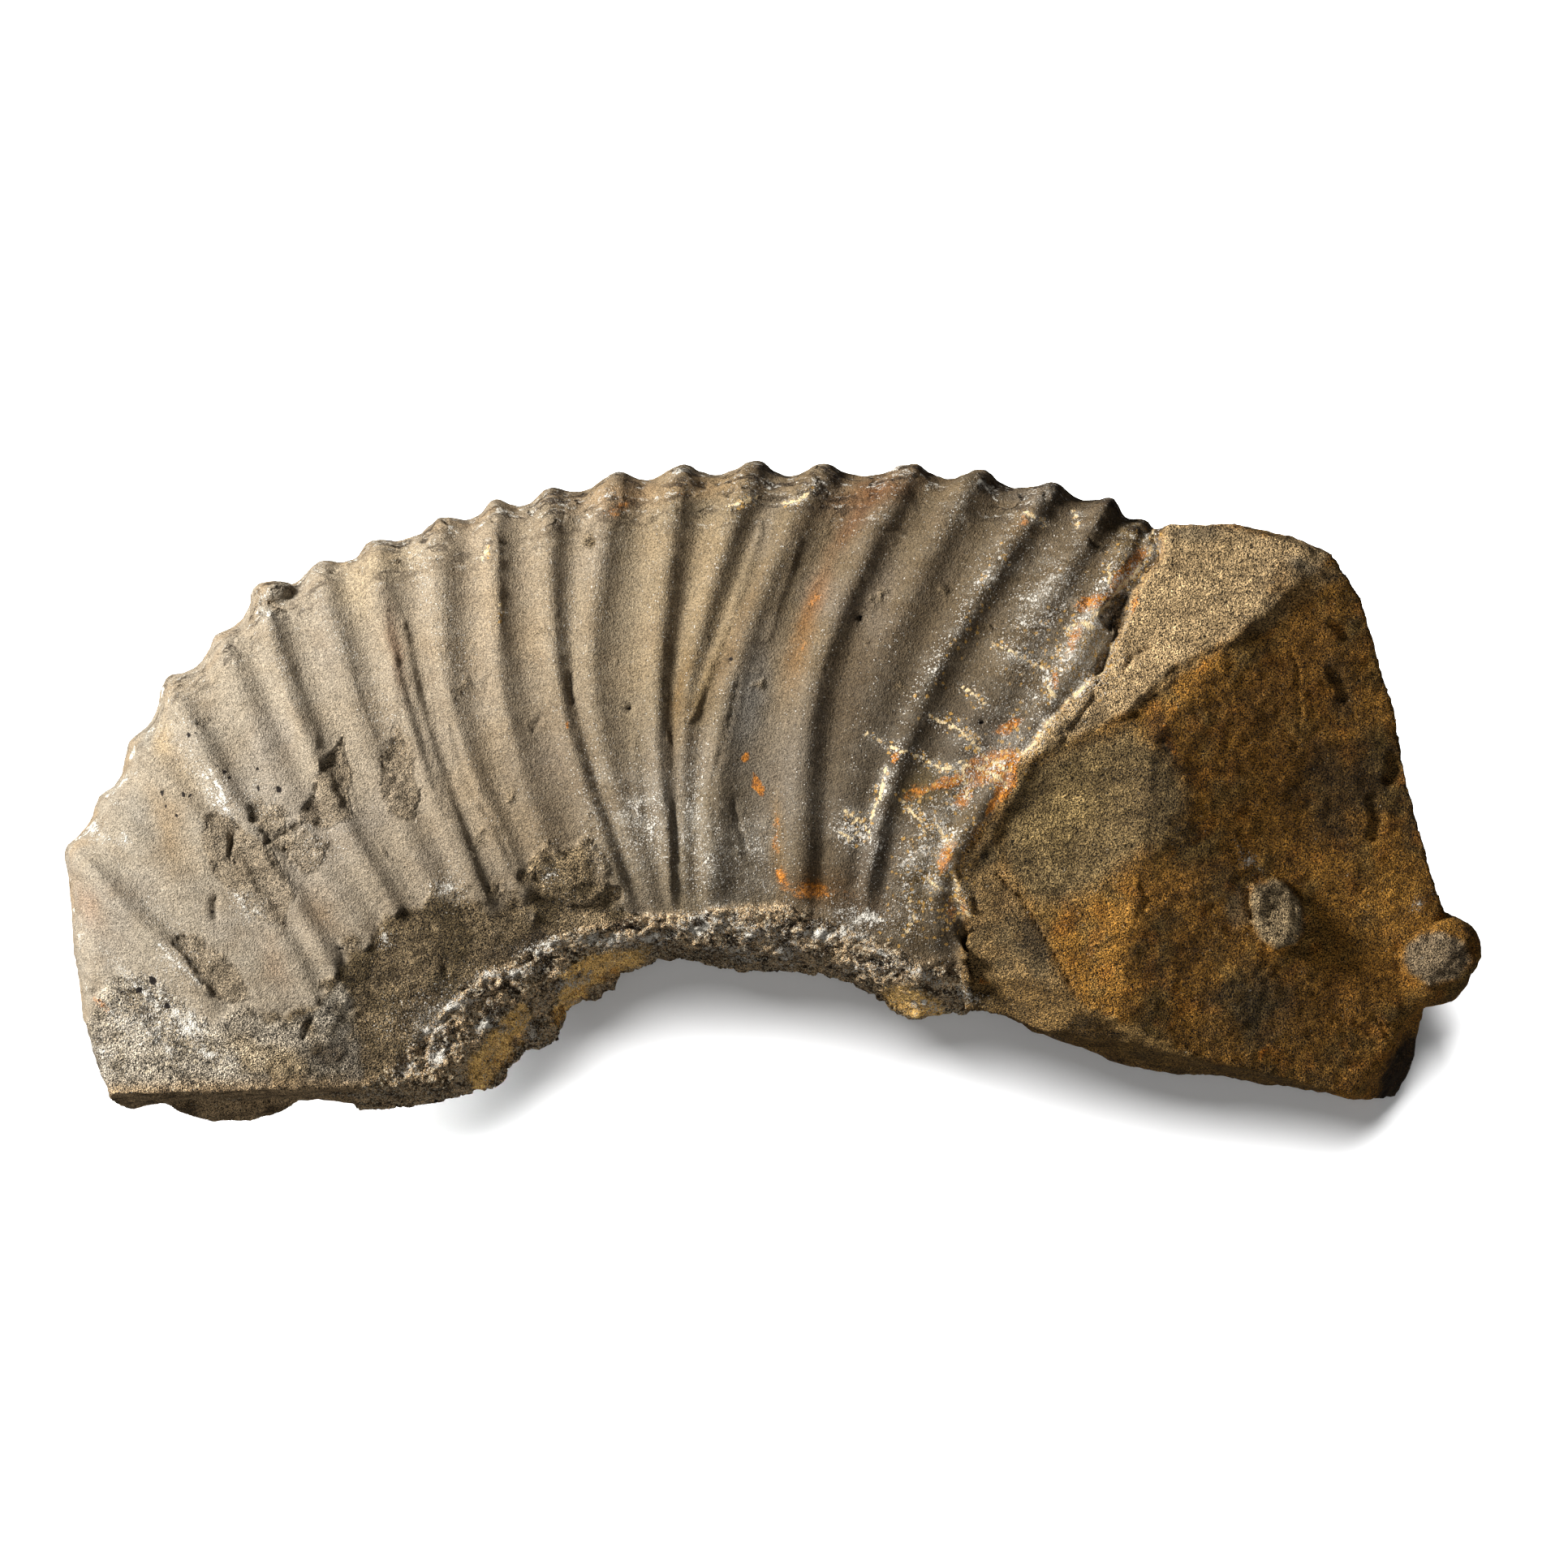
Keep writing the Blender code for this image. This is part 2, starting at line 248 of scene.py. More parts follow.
def cells(places, size, seed):
    """Distances to the two nearest scattered points, and the nearest one's own number, 0 to 1."""
    scaled = places / size + 31.7
    cell = np.floor(scaled).astype(np.int64)
    first = np.full(len(places), 9.0)
    second = np.full(len(places), 9.0)
    tag = np.zeros(len(places))
    for step in itertools.product((-1, 0, 1), repeat=3):
        other = cell + step
        h = hashed(other, seed)
        gap = np.zeros(len(places))
        for k in range(3):
            spot = ((h >> np.uint64(10 * k)) & np.uint64(1023)).astype(float) / 1023
            gap += (other[:, k] + spot - scaled[:, k]) ** 2
        nearer = gap < first
        second = np.where(nearer, first, np.minimum(second, gap))
        tag = np.where(nearer, ((h >> np.uint64(40)) & np.uint64(1023)).astype(float) / 1023, tag)
        first = np.where(nearer, gap, first)
    return np.sqrt(first), np.sqrt(second), tag


def line_offsets(at, line):
    """Each place's distance to a line, its side (positive on the right) and its share along it."""
    line = np.asarray(line, float)
    lengths = np.linalg.norm(np.diff(line, axis=0), axis=1)
    starts = np.concatenate([[0], np.cumsum(lengths)])
    distance = np.full(len(at), 1e9)
    side = np.zeros(len(at))
    share = np.zeros(len(at))
    for k, length in enumerate(lengths):
        way = (line[k + 1] - line[k]) / length
        rel = at - line[k]
        run = np.clip(rel @ way, 0, length)
        gap = np.linalg.norm(rel - run[:, None] * way, axis=1)
        nearer = gap < distance
        distance = np.where(nearer, gap, distance)
        side = np.where(nearer, way[0] * rel[:, 1] - way[1] * rel[:, 0], side)
        share = np.where(nearer, (starts[k] + run) / starts[-1], share)
    return distance, side, share


def inside(at, corners):
    """Signed distance of each place to a polygon's outline, positive inside."""
    closed = list(corners) + [corners[0]]
    distance = line_offsets(at, closed)[0]
    odd = np.zeros(len(at), bool)
    for (x0, y0), (x1, y1) in zip(closed, closed[1:]):
        if y0 == y1:
            continue
        crosses = (at[:, 1] < y0) != (at[:, 1] < y1)
        odd ^= crosses & (at[:, 0] < x0 + (at[:, 1] - y0) * (x1 - x0) / (y1 - y0))
    return np.where(odd, distance, -distance)


def near_box(at, corners, margin):
    """Numbers of the places in the box round some corners."""
    corners = np.asarray(corners, float)
    low, high = corners.min(0) - margin, corners.max(0) + margin
    return np.flatnonzero(np.all((at > low) & (at < high), axis=1))


def stroke(at, line, width, taper=0.08):
    """1 on a line, falling to 0 at `width` from it, and thinner towards its ends."""
    found = np.zeros(len(at))
    near = near_box(at, line, width)
    distance, _, share = line_offsets(at[near], line)
    here = width * np.clip(np.minimum(share, 1 - share) / taper + 0.25, 0, 1)
    found[near] = smooth_step(1, 0, distance / here)
    return found


def patch(at, corners, soft):
    """1 inside a polygon, falling to 0 over `soft` across its outline."""
    found = np.zeros(len(at))
    near = near_box(at, corners, soft)
    found[near] = smooth_step(-soft / 2, soft / 2, inside(at[near], corners))
    return found


def strokes(at, rows, widening, taper):
    """The strongest of the strokes in rows of a line and its width."""
    found = np.zeros(len(at))
    for line, width in rows:
        found = np.maximum(found, stroke(at, line, widening * width, taper))
    return found


def disc(at, centre, radius, inner):
    """1 in a round spot, falling to 0 from `inner` within its edge to 1.5 beyond it."""
    return smooth_step(radius + 1.5, radius - inner, np.linalg.norm(at - centre, axis=1))


def spot(at, centre, sizes, turn=0.0):
    """A soft oval of half sizes `sizes`, turned by `turn` degrees clockwise in the picture."""
    c, s = math.cos(math.radians(turn)), math.sin(math.radians(turn))
    x, y = (at - centre).T
    along = (c * x + s * y) / sizes[0]
    across = (c * y - s * x) / sizes[1]
    return np.exp(-1.4 * (along**2 + across**2))


# -------------------- base shapes, as in the CAD but finer


def between_rows(rows, at):
    """Catmull-Rom values between rows of numbers, at fractional row numbers."""
    rows = np.asarray(rows, float)
    last = len(rows) - 1
    low = np.clip(np.floor(at).astype(int), 0, last - 1)
    t = (at - low).reshape(at.shape + (1,) * (rows.ndim - 1))
    a, b, c, d = (rows[np.clip(low + k, 0, last)] for k in (-1, 0, 1, 2))
    return b + 0.5 * t * (c - a + t * (2 * a - 5 * b + 4 * c - d + t * (3 * (b - c) + d - a)))


def section_ring(count):
    """The closed cross-section, evenly spaced: shares (u, h) and outward directions."""
    turns = np.linspace(0, len(SECTION), 40 * len(SECTION), endpoint=False)
    loop = SECTION[-2:] + SECTION + SECTION[:3]
    fine = between_rows(loop, turns + 2)
    steps = np.linalg.norm((np.roll(fine, -1, 0) - fine) * (1.5, 1.0), axis=1)
    length = np.concatenate([[0], np.cumsum(steps)])
    at = np.linspace(0, length[-1], count, endpoint=False)
    ring = np.stack([np.interp(at, length[:-1], fine[:, k]) for k in (0, 1)], axis=1)
    tangent = (np.roll(ring, -1, 0) - np.roll(ring, 1, 0)) * (1.5, 1.0)
    outward = np.stack([-tangent[:, 1], tangent[:, 0]], axis=1)
    return ring, outward / np.linalg.norm(outward, axis=1)[:, None]


def rib_height(rows):
    """1 on a rib's rounded crest, falling to 0 in the middle of the hollow furrow."""
    away = np.abs((rows + 0.5) % 1 - 0.5)
    past = away - CREST_REACH
    furrow = 1 - 2 * CREST_REACH - 4 * past + 4 * past**2 / (1 - 2 * CREST_REACH)
    return np.where(past < 0, 1 - 2 * away**2 / CREST_REACH, furrow)


def whorl_points(rows, count):
    """The ribbed whorl: points by row and place in the ring, shares u and the ribs' height."""
    ring, outward = section_ring(count)
    plan = between_rows([rib[:4] for rib in RIBS], rows)
    strength = between_rows([rib[4] for rib in RIBS], rows)
    u, h = ring[:, 0], ring[:, 1]
    across = np.interp(u, (0, 0.5, SHOULDER, INNER_RIM), (0, 1, 2, 3))
    xy = np.stack([between_rows(line, across) for line in plan])
    thickness = np.interp(rows, (0, len(RIBS) - 1), (THICKNESS_AT_FOOT, THICKNESS_AT_BLOCK))
    share = np.stack([np.interp(u, (0, 0.5, SHOULDER), line) for line in strength])
    share *= smooth_step(1.12, 0.95, u) * smooth_step(-0.02, 0.35, h)
    ribs = RIB_RELIEF * share * (rib_height(rows)[:, None] - MIDDLE_LEVEL)
    lift = ribs - RIB_RELIEF / 2
    lift -= END_DROP * smooth_step(WHORL_END - 0.4, WHORL_END, rows)[:, None]
    inward = plan[:, 2] - plan[:, 0]
    inward /= np.linalg.norm(inward, axis=1)[:, None]
    xy += (lift * outward[:, 0])[..., None] * inward[:, None, :]
    z = thickness[:, None] * h + lift * outward[:, 1]
    return np.concatenate([xy, z[..., None]], axis=2), u, ribs


def cap_open_ends(bm):
    bmesh.ops.holes_fill(bm, edges=[e for e in bm.edges if e.is_boundary])
    bmesh.ops.recalc_face_normals(bm, faces=bm.faces)


def cut_away(bm, points, kept):
    """Cuts off what lies beyond the plane through three points, seen from `kept`."""
    a, b, c = (Vector(p) for p in points)
    outward = (b - a).cross(c - a)
    if outward.dot(Vector(kept) - a) > 0:
        outward.negate()
    geometry = bm.verts[:] + bm.edges[:] + bm.faces[:]
    bmesh.ops.bisect_plane(
        bm, geom=geometry, plane_co=a, plane_no=outward, clear_outer=True, dist=1e-4
    )
    cap_open_ends(bm)


def loft(grid):
    """A closed tube through rings of points."""
    rings, count = grid.shape[:2]
    number = np.arange(rings * count).reshape(rings, count)
    ahead = np.roll(number, -1, axis=1)
    faces = np.stack([number[:-1], ahead[:-1], ahead[1:], number[1:]], axis=-1).reshape(-1, 4)
    mesh = bpy.data.meshes.new("loft")
    mesh.from_pydata(grid.reshape(-1, 3).tolist(), [], faces.tolist())
    bm = bmesh.new()
    bm.from_mesh(mesh)
    bpy.data.meshes.remove(mesh)
    cap_open_ends(bm)
    return bm


def whorl(grid):
    bm = loft(grid)
    cut_away(bm, FOOT_BREAK, (0, 0, 0))
    cut_away(bm, RESTING_PLANE, (0, 0, 50))
    return bm


def block():
    bm = bmesh.new()
    bmesh.ops.create_cube(bm, size=WORKING_SIZE, matrix=Matrix.Translation(BLOCK_CENTRE))
    for points in BLOCK_FACES + [RESTING_PLANE]:
        cut_away(bm, points, BLOCK_CENTRE)
    return bm


def lump(centre, half_sizes):
    bm = bmesh.new()
    matrix = Matrix.Translation(centre) @ Matrix.Diagonal((*half_sizes, 1))
    bmesh.ops.create_icosphere(bm, subdivisions=LUMP_SUBDIVISIONS, radius=1, matrix=matrix)
    cut_away(bm, RESTING_PLANE, (*centre[:2], 50))
    return bm


def joined(pieces):
    """One object holding every piece, still as separate shells."""
    whole = bmesh.new()
    for bm in pieces:
        mesh = bpy.data.meshes.new("piece")
        bm.to_mesh(mesh)
        bm.free()
        whole.from_mesh(mesh)
        bpy.data.meshes.remove(mesh)
    mesh = bpy.data.meshes.new("stone")
    whole.to_mesh(mesh)
    whole.free()
    obj = bpy.data.objects.new("stone", mesh)
    bpy.context.scene.collection.objects.link(obj)
    return obj


def apply_modifiers(obj):
    graph = bpy.context.evaluated_depsgraph_get()
    mesh = bpy.data.meshes.new_from_object(obj.evaluated_get(graph))
    old = obj.data
    obj.modifiers.clear()
    obj.data = mesh
    bpy.data.meshes.remove(old)


def remeshed(obj, voxel):
    """Fuses the shells into one closed skin of even quads."""
    modifier = obj.modifiers.new("skin", "REMESH")
    modifier.mode = "VOXEL"
    modifier.voxel_size = voxel
    apply_modifiers(obj)


def vectors(items, name):
    flat = np.empty(len(items) * 3, np.float32)
    items.foreach_get(name, flat)
    return flat.reshape(-1, 3).astype(float)


def points_of(mesh):
    return vectors(mesh.vertices, "co")


def normals_of(mesh):
    return vectors(mesh.vertex_normals, "vector")


def set_points(mesh, points):
    mesh.vertices.foreach_set("co", points.astype(np.float32).ravel())
    mesh.update()


def photo_places(points):
    """Photo pixels at which the camera sees points given in millimetres."""
    up = np.array((0, math.sin(ELEVATION), math.cos(ELEVATION)))
    rel = points * MM - np.array(AIM + DISTANCE * BACKWARD)
    depth = -rel @ np.array(BACKWARD)
    scale = LENS / SENSOR * PHOTO_SIDE / depth
    middle = PHOTO_SIDE / 2
    return np.stack([middle + scale * rel[:, 0], middle - scale * (rel @ up)], axis=1)


# -------------------- marks, in photo pixels

# Places where a flake has come off: outline, depth in millimetres.
SCARS = table("""
422,908 432,950 430,985 436,1003 402,1020 372,1018 350,1052 322,1037 366,1011 385,978 396,945 0.8
349,1045 376,1022 404,1040 398,1064 370,1078 0.7
249,1006 272,1000 292,1012 318,1034 344,1062 362,1102 349,1140 317,1131 288,1102 260,1074 249,1041 \
1
209,1166 224,1150 241,1148 264,1170 287,1191 308,1225 292,1238 264,1230 245,1207 226,1182 0.8
466,938 492,895 510,935 516,985 507,1012 478,1002 468,970 0.6
1365,739 1384,726 1397,739 1397,758 1384,777 1368,774 1360,758 2.2
336,990 352,996 348,1020 330,1028 318,1018 0.5
306,995 322,985 330,1000 322,1018 308,1012 0.5
140,1207 165,1205 205,1222 228,1248 240,1285 215,1292 180,1268 158,1240 0.8
655,1060 672,1042 700,1045 722,1030 742,1050 750,1090 742,1120 700,1118 668,1100 652,1082 -1
""")

# Flat-topped nodules: outline, height in millimetres.
NODULES = table("""
1545,1092 1570,1084 1592,1095 1605,1118 1606,1145 1596,1163 1575,1169 1553,1158 1541,1136 \
1539,1110 2.8
1735,1165 1750,1152 1780,1148 1806,1160 1812,1184 1796,1206 1764,1214 1738,1200 1730,1182 1.2
""")

# Sharp cracks and furrows: line, width, depth in millimetres.
GROOVES = table("""
478,745 487,785 500,844 519,907 532,960 545,1003 562,1050 580,1095 596,1118 7 0.45
590,988 606,1012 622,1044 634,1078 6 0.8
555,891 565,932 575,964 590,990 6 0.7
911,831 900,880 888,925 878,959 879,1000 885,1030 4 0.7
905,985 908,1010 917,1035 922,1055 4 0.7
1543,1094 1540,1112 1543,1134 6 1.6
1607,1130 1604,1152 1594,1166 6 1.6
1720,1190 1732,1204 1748,1216 6 1
1590,800 1600,830 1604,880 1598,930 2.5 0.6
1638,768 1652,776 1660,790 9 1.2
1640,826 1654,846 1658,866 11 1.2
1690,980 1700,1010 1694,1040 12 1.3
1716,930 1722,948 1712,966 12 2
290,1017 286,1035 280,1066 5 1.8
303,1040 292,1060 284,1070 3 0.8
263,1104 264,1118 266,1134 8 1.5
116,1218 112,1228 7 1.6
1220,1074 1235,1083 1243,1095 1258,1109 1270,1125 1282,1150 1296,1171 1311,1197 1323,1226 3.5 1.6
1252,1100 1270,1112 5 1.5
1421,798 1405,803 1394,811 1386,823 1383,832 4 1.2
1688,1245 1700,1262 1720,1290 1738,1310 2.5 0.8
1640,1250 1680,1266 1730,1262 1790,1258 2.5 0.7
1406,1090 1412,1110 1408,1128 3 0.6
1403,1088 1420,1120 2.5 0.5
608,826 599,838 599,850 3.5 0.9
673,880 661,890 656,905 3.5 0.8
633,786 648,775 668,762 2.5 0.5
703,829 705,850 707,868 3.5 0.8
616,667 638,673 650,664 3 0.8
758,624 780,627 806,625 3 0.8
857,625 885,619 910,618 2.5 0.5
936,625 975,617 1008,610 2.5 0.6
1081,646 1097,654 1124,655 1148,656 1168,645 3 0.8
1340,660 1352,672 1368,680 3.5 1
1415,650 1424,668 1427,690 1412,706 4 1.5
540,632 552,644 570,648 592,640 4 1.2
462,665 480,670 500,666 3 0.9
388,700 402,706 418,700 3 0.9
312,745 330,742 350,748 356,756 4 1.6
316,757 332,760 346,758 3 1.2
384,1250 378,1268 372,1282 6 1.4
392,1228 398,1240 4 0.8
540,1175 548,1195 552,1215 3 0.9
455,1215 462,1235 4 0.9
""")

# Fine raised lines: line, width, height in millimetres.
RIDGES = table("""
214,860 232,905 258,948 284,1005 20 0.5
330,760 345,815 362,862 388,918 22 0.6
395,965 415,1015 438,1065 464,1112 22 0.5
368,1095 392,1138 414,1184 24 0.6
112,1066 150,1108 192,1150 238,1196 256,1225 22 0.7
132,1212 165,1245 195,1280 22 0.7
940,645 930,680 915,722 898,767 879,815 862,858 850,888 9 1.1
985,665 972,705 958,745 946,790 7 0.5
495,763 504,811 514,859 533,923 559,1003 584,1073 600,1108 9 0.8
822,900 826,960 824,1010 826,1060 7 0.8
782,900 784,960 790,1010 6 0.6
1397,893 1440,930 1460,965 1462,1000 1440,1030 1400,1060 1340,1108 20 0.3
1176,1071 1182,1109 1192,1130 1188,1153 1184,1177 1200,1200 1222,1213 9 0.9
1190,1205 1250,1204 1310,1220 1360,1247 1420,1281 1470,1301 1530,1314 12 0.7
1290,926 1330,910 1390,893 10 0.6
""")

# Steps whose right hand side stands higher: line, height in millimetres, reach.
STEPS = table("""
325,1036 366,1011 385,978 396,945 421,911 -0.45 60
487,800 488,860 486,900 470,925 0.5 40
553,885 565,932 575,964 590,990 606,1012 622,1044 636,1080 0.6 60
1345,907 1385,885 1420,850 1450,822 1520,790 1560,760 1620,702 -1.1 30
1290,918 1330,908 1392,880 1398,868 1458,836 -1.2 40
1418,798 1440,796 1460,802 0.6 30
1440,640 1432,670 1424,700 1400,729 1375,783 1359,828 1336,847 1304,873 1273,917 1253,935 -0.5 30
408,959 427,1019 452,1083 478,1124 0.35 34
229,895 258,933 283,984 315,1035 341,1077 379,1147 420,1196 0.35 36
332,765 347,828 366,876 394,932 0.35 34
425,770 438,830 455,880 470,915 0.25 26
133,1085 156,1118 197,1150 245,1200 0.5 34
536,680 537,735 536,780 548,830 566,880 0.6 26
606,640 618,690 618,750 612,795 620,850 640,920 0.5 26
310,1242 330,1246 352,1240 -0.7 16
""")

# Small round pits: centre, radius, depth in millimetres.
PITS = table("""
776,873 4.5 1.2
900,813 4.5 1
1060,761 4 1.2
1210,890 4 1.2
1397,880 5 1
344,973 3.5 0.7
420,1169 2.5 0.6
""")

# Whole areas, in photo pixels.
MATRIX = groups("""
415,1208 440,1168 470,1152 482,1128 500,1112 540,1106 575,1112 600,1118 632,1100 652,1078 668,1048 \
700,1050 722,1034 742,1054 754,1100 780,1128 800,1145 760,1165 700,1215 640,1295 580,1360 500,1400 \
330,1400 310,1300 330,1262 380,1250
""")
CRUST = groups("""
440,1345 500,1300 545,1245 585,1205 640,1178 700,1150 745,1136 800,1128 860,1124 900,1118 960,1113 \
1000,1128 1040,1143 1090,1162 1140,1192 1190,1222 1196,1300 900,1320 560,1440 430,1440
""")
# Orange crust patches. Their paint is made far brighter than their own colour: painted light on
# faces the lamps leave dark.
ORANGE_CRUST_AND_PAINTED_LIGHT = table("""
575,1325 582,1300 600,1285 612,1262 640,1236 656,1244 650,1266 628,1300 606,1328 590,1350
680,1246 690,1222 714,1210 724,1225 706,1245 684,1266
690,1200 720,1180 760,1170 800,1168 790,1190 740,1210 700,1220
1085,1215 1120,1215 1160,1235 1170,1262 1130,1256 1095,1240
""")
FOOT_ROUGH = groups("""
135,1205 165,1200 205,1218 235,1250 262,1262 300,1240 330,1262 384,1250 420,1208 440,1240 450,1380 \
240,1390 130,1350 105,1260
""")
SANDY_FACE = groups("""
1436,640 1640,670 1630,700 1560,752 1520,782 1450,820 1398,872 1330,906 1250,944 1273,917 1304,873 \
1359,828 1400,729 1430,684
""")
EDGE_FACE = groups("""
1398,872 1425,845 1455,818 1520,788 1560,756 1632,698 1660,702 1640,716 1570,772 1500,800 1462,826 \
1440,850
""")
SCOOP = groups("""
1250,946 1290,928 1330,910 1390,893 1440,928 1460,965 1462,1000 1440,1030 1400,1058 1345,1100 \
1290,1118 1262,1108 1238,1080 1225,1040 1228,1003
""")
GREY_SIDE = groups("""
1190,1048 1225,1010 1225,1040 1236,1082 1262,1112 1290,1165 1325,1232 1310,1290 1230,1250 \
1190,1230 1184,1177 1190,1140 1180,1109 1176,1071
""")
# The facet at the lower right corner, painted nearly black as its shadow.
CORNER_PAINTED_SHADOW = groups("""
1694,1360 1704,1318 1736,1270 1770,1300 1750,1370
""")
FRONT_STRIP = groups("""
1190,1206 1250,1204 1310,1220 1360,1247 1420,1281 1470,1301 1530,1314 1640,1346 1640,1420 \
1200,1330
""")


# White dust: centre, half sizes, turn in degrees, strength.
POWDER = table("""
792,1015 62,36 82 1
855,985 70,16 92 0.9
868,1062 62,40 60 0.75
930,1050 60,36 90 0.5
735,990 80,18 85 0.45
1060,1025 46,22 20 0.7
1092,965 60,9 112 0.6
1078,1050 60,18 110 0.5
1150,1050 100,36 112 1
1235,930 50,34 130 0.5
1192,968 40,18 150 0.9
1168,790 120,14 122 0.6
1235,690 100,22 125 0.65
1285,755 90,40 118 0.9
1325,815 90,46 120 1.1
1375,710 60,26 125 0.9
1262,868 60,36 130 0.6
1185,620 50,10 125 0.4
1290,615 30,16 120 0.5
520,700 110,14 78 0.35
565,800 90,14 76 0.35
345,800 60,12 70 0.4
420,780 70,14 66 0.35
470,880 60,24 66 0.25
250,950 60,14 56 0.55
230,880 40,12 55 0.35
272,990 40,9 52 0.9
185,1255 56,30 45 0.9
125,1310 40,30 60 0.5
200,1130 70,12 45 0.3
520,1240 60,24 150 0.4
700,770 60,10 95 0.25
320,985 30,30 0 0.4
395,1040 40,30 0 0.4
""")
# Ochre grains among the dust.
GOLD = table("""
1150,1060 110,40 112 1.1
1320,800 90,50 120 0.9
1230,940 50,36 130 1
1385,700 60,26 125 0.9
1190,780 120,16 122 0.5
1225,700 80,16 125 0.4
1165,1130 50,30 100 0.8
1125,985 40,16 160 0.6
1250,880 40,20 150 0.5
""")
# Rust stains: centre, half sizes, turn, strength.
RUST = table("""
917,933 10,6 120 1.2
935,968 16,7 60 1.3
957,1030 44,7 88 0.6
962,1080 26,9 70 0.8
1000,1096 34,20 10 0.75
1048,1108 30,16 10 0.35
762,628 34,14 150 0.45
838,610 20,10 0 0.4
1080,606 46,16 160 0.35
1058,640 36,8 128 0.3
1004,738 24,10 115 0.5
985,800 50,8 105 0.35
1104,932 14,6 115 1.2
1172,962 34,9 155 1.2
1222,944 40,18 160 1.7
1240,964 30,11 110 1.6
1190,975 30,12 120 1
1165,1060 26,10 110 0.9
1246,893 24,8 150 1.1
1222,995 22,7 120 1
1348,742 30,11 150 1.2
1388,706 44,11 128 1.3
1322,790 26,8 110 0.9
1400,745 24,6 100 0.7
1299,834 20,6 80 1
1262,645 20,7 125 0.6
1130,975 30,14 160 0.6
1172,1118 20,10 80 0.6
1187,1120 26,5 75 0.8
1216,1212 16,4 20 0.9
124,1238 22,8 40 0.7
476,800 40,6 80 0.2
697,892 7,3 80 1
1557,1297 14,6 110 1
1440,915 40,8 70 0.6
1435,848 20,8 80 0.4
1530,990 40,24 30 0.25
""")
# Thin cream veins: line, width.
VEINS = table("""
1143,880 1160,890 1178,896 1199,914 1215,936 1234,943 1245,960 4.5
1068,902 1090,914 1110,925 1139,936 1164,946 1200,942 3.2
1180,932 1188,955 1190,984 4
1196,950 1212,948 1232,955 1240,975 4
1183,845 1200,856 1217,869 3.6
1040,1000 1062,1012 1074,1030 3
1052,1004 1058,1024 1044,1040 2.6
1030,1022 1050,1034 1072,1036 2.6
1092,940 1088,965 1080,990 1072,1020 3.4
1215,790 1240,800 1262,812 1285,822 2.6
1283,826 1292,845 1300,862 2.8
1332,772 1352,758 1366,742 1380,724 1398,706 1414,690 4
1366,742 1358,756 1362,772 3
1419,646 1422,668 1413,688 3.6
1370,686 1366,700 1368,720 3
1318,626 1330,640 1328,652 2.6
1262,630 1276,638 1290,646 2.8
1304,873 1290,895 1273,917 1256,932 3.2
1375,783 1366,806 1359,828 1336,847 1312,866 3
594,690 602,676 2.2
615,742 620,755 612,768 2
1118,1150 1126,1130 1122,1105 2.6
1005,600 985,616 960,622 2.4
895,625 935,612 2.4
1176,1071 1182,1109 1194,1130 2.6
1112,985 1122,1000 1134,1012 1140,1024 3
1152,1012 1160,1026 1170,1040 4
1138,1078 1150,1090 1168,1098 3
1316,774 1334,768 1352,772 3
""")
# White crystal patches: line, width.
WHITE = table("""
530,1092 540,1088 556,1094 550,1100 538,1098 7
471,1150 478,1160 482,1166 5
282,1095 296,1110 306,1122 318,1120 328,1128 5
196,1163 205,1178 218,1190 232,1198 246,1212 6.5
665,1079 674,1080 682,1077 4
153,1028 157,1042 5
1340,671 1346,673 4.5
1530,1065 1538,1060 1544,1055 8
1745,1109 1749,1117 9
318,735 335,733 3
316,757 336,756 3
392,693 404,690 3
108,1017 122,1026 136,1034 4
255,946 268,968 284,1008 5
178,1218 190,1240 188,1262 196,1290 3
118,1288 126,1300 3.5
""")
# Black specks: centre, radius.
SPECKS = table("""
344,973 3.4
317,946 2.4
316,958 2.2
318,970 2.6
283,958 2.6
276,951 2.2
268,944 1.8
258,933 2
200,978 2.6
204,985 2.2
204,994 2.4
226,979 2.4
234,980 2
217,1004 2
232,906 2.8
240,904 2.2
310,1008 2.4
188,1208 5
172,1220 4
206,1240 4
262,1124 3
1060,761 3.4
776,873 3.6
900,813 2.8
1210,890 3.4
420,1169 2.4
""")
# White grains in the crust: centre, half sizes, turn.
CRYSTALS = table("""
604,1203 34,9 160
560,1236 40,9 155
530,1268 34,12 150
640,1196 30,8 170
680,1165 36,10 165
740,1160 44,12 175
800,1158 40,12 0
870,1142 50,14 175
930,1150 50,14 5
862,1128 20,8 0
1010,1150 40,12 0
1050,1152 30,12 20
1092,1176 30,8 30
1140,1202 40,8 28
1055,1196 22,10 0
970,1176 24,18 120
905,1176 40,12 10
600,1262 30,12 140
655,1270 20,14 120
540,1300 24,14 120
500,1318 24,10 160
1140,1238 26,8 20
1190,1225 20,8 20
700,1212 30,8 160
172,1216 60,7 45
214,1246 50,10 58
236,1262 30,16 50
206,1290 26,5 62
150,1262 34,6 50
262,1300 30,8 20
1060,1130 40,14 10
340,1368 60,8 175
260,1372 24,8 170
430,1352 60,6 175
""")


# -------------------- surface detail


# How far the outlines of marks wander and fray, in photo pixels.
WOBBLE = 4.0
FRAY = 2.5


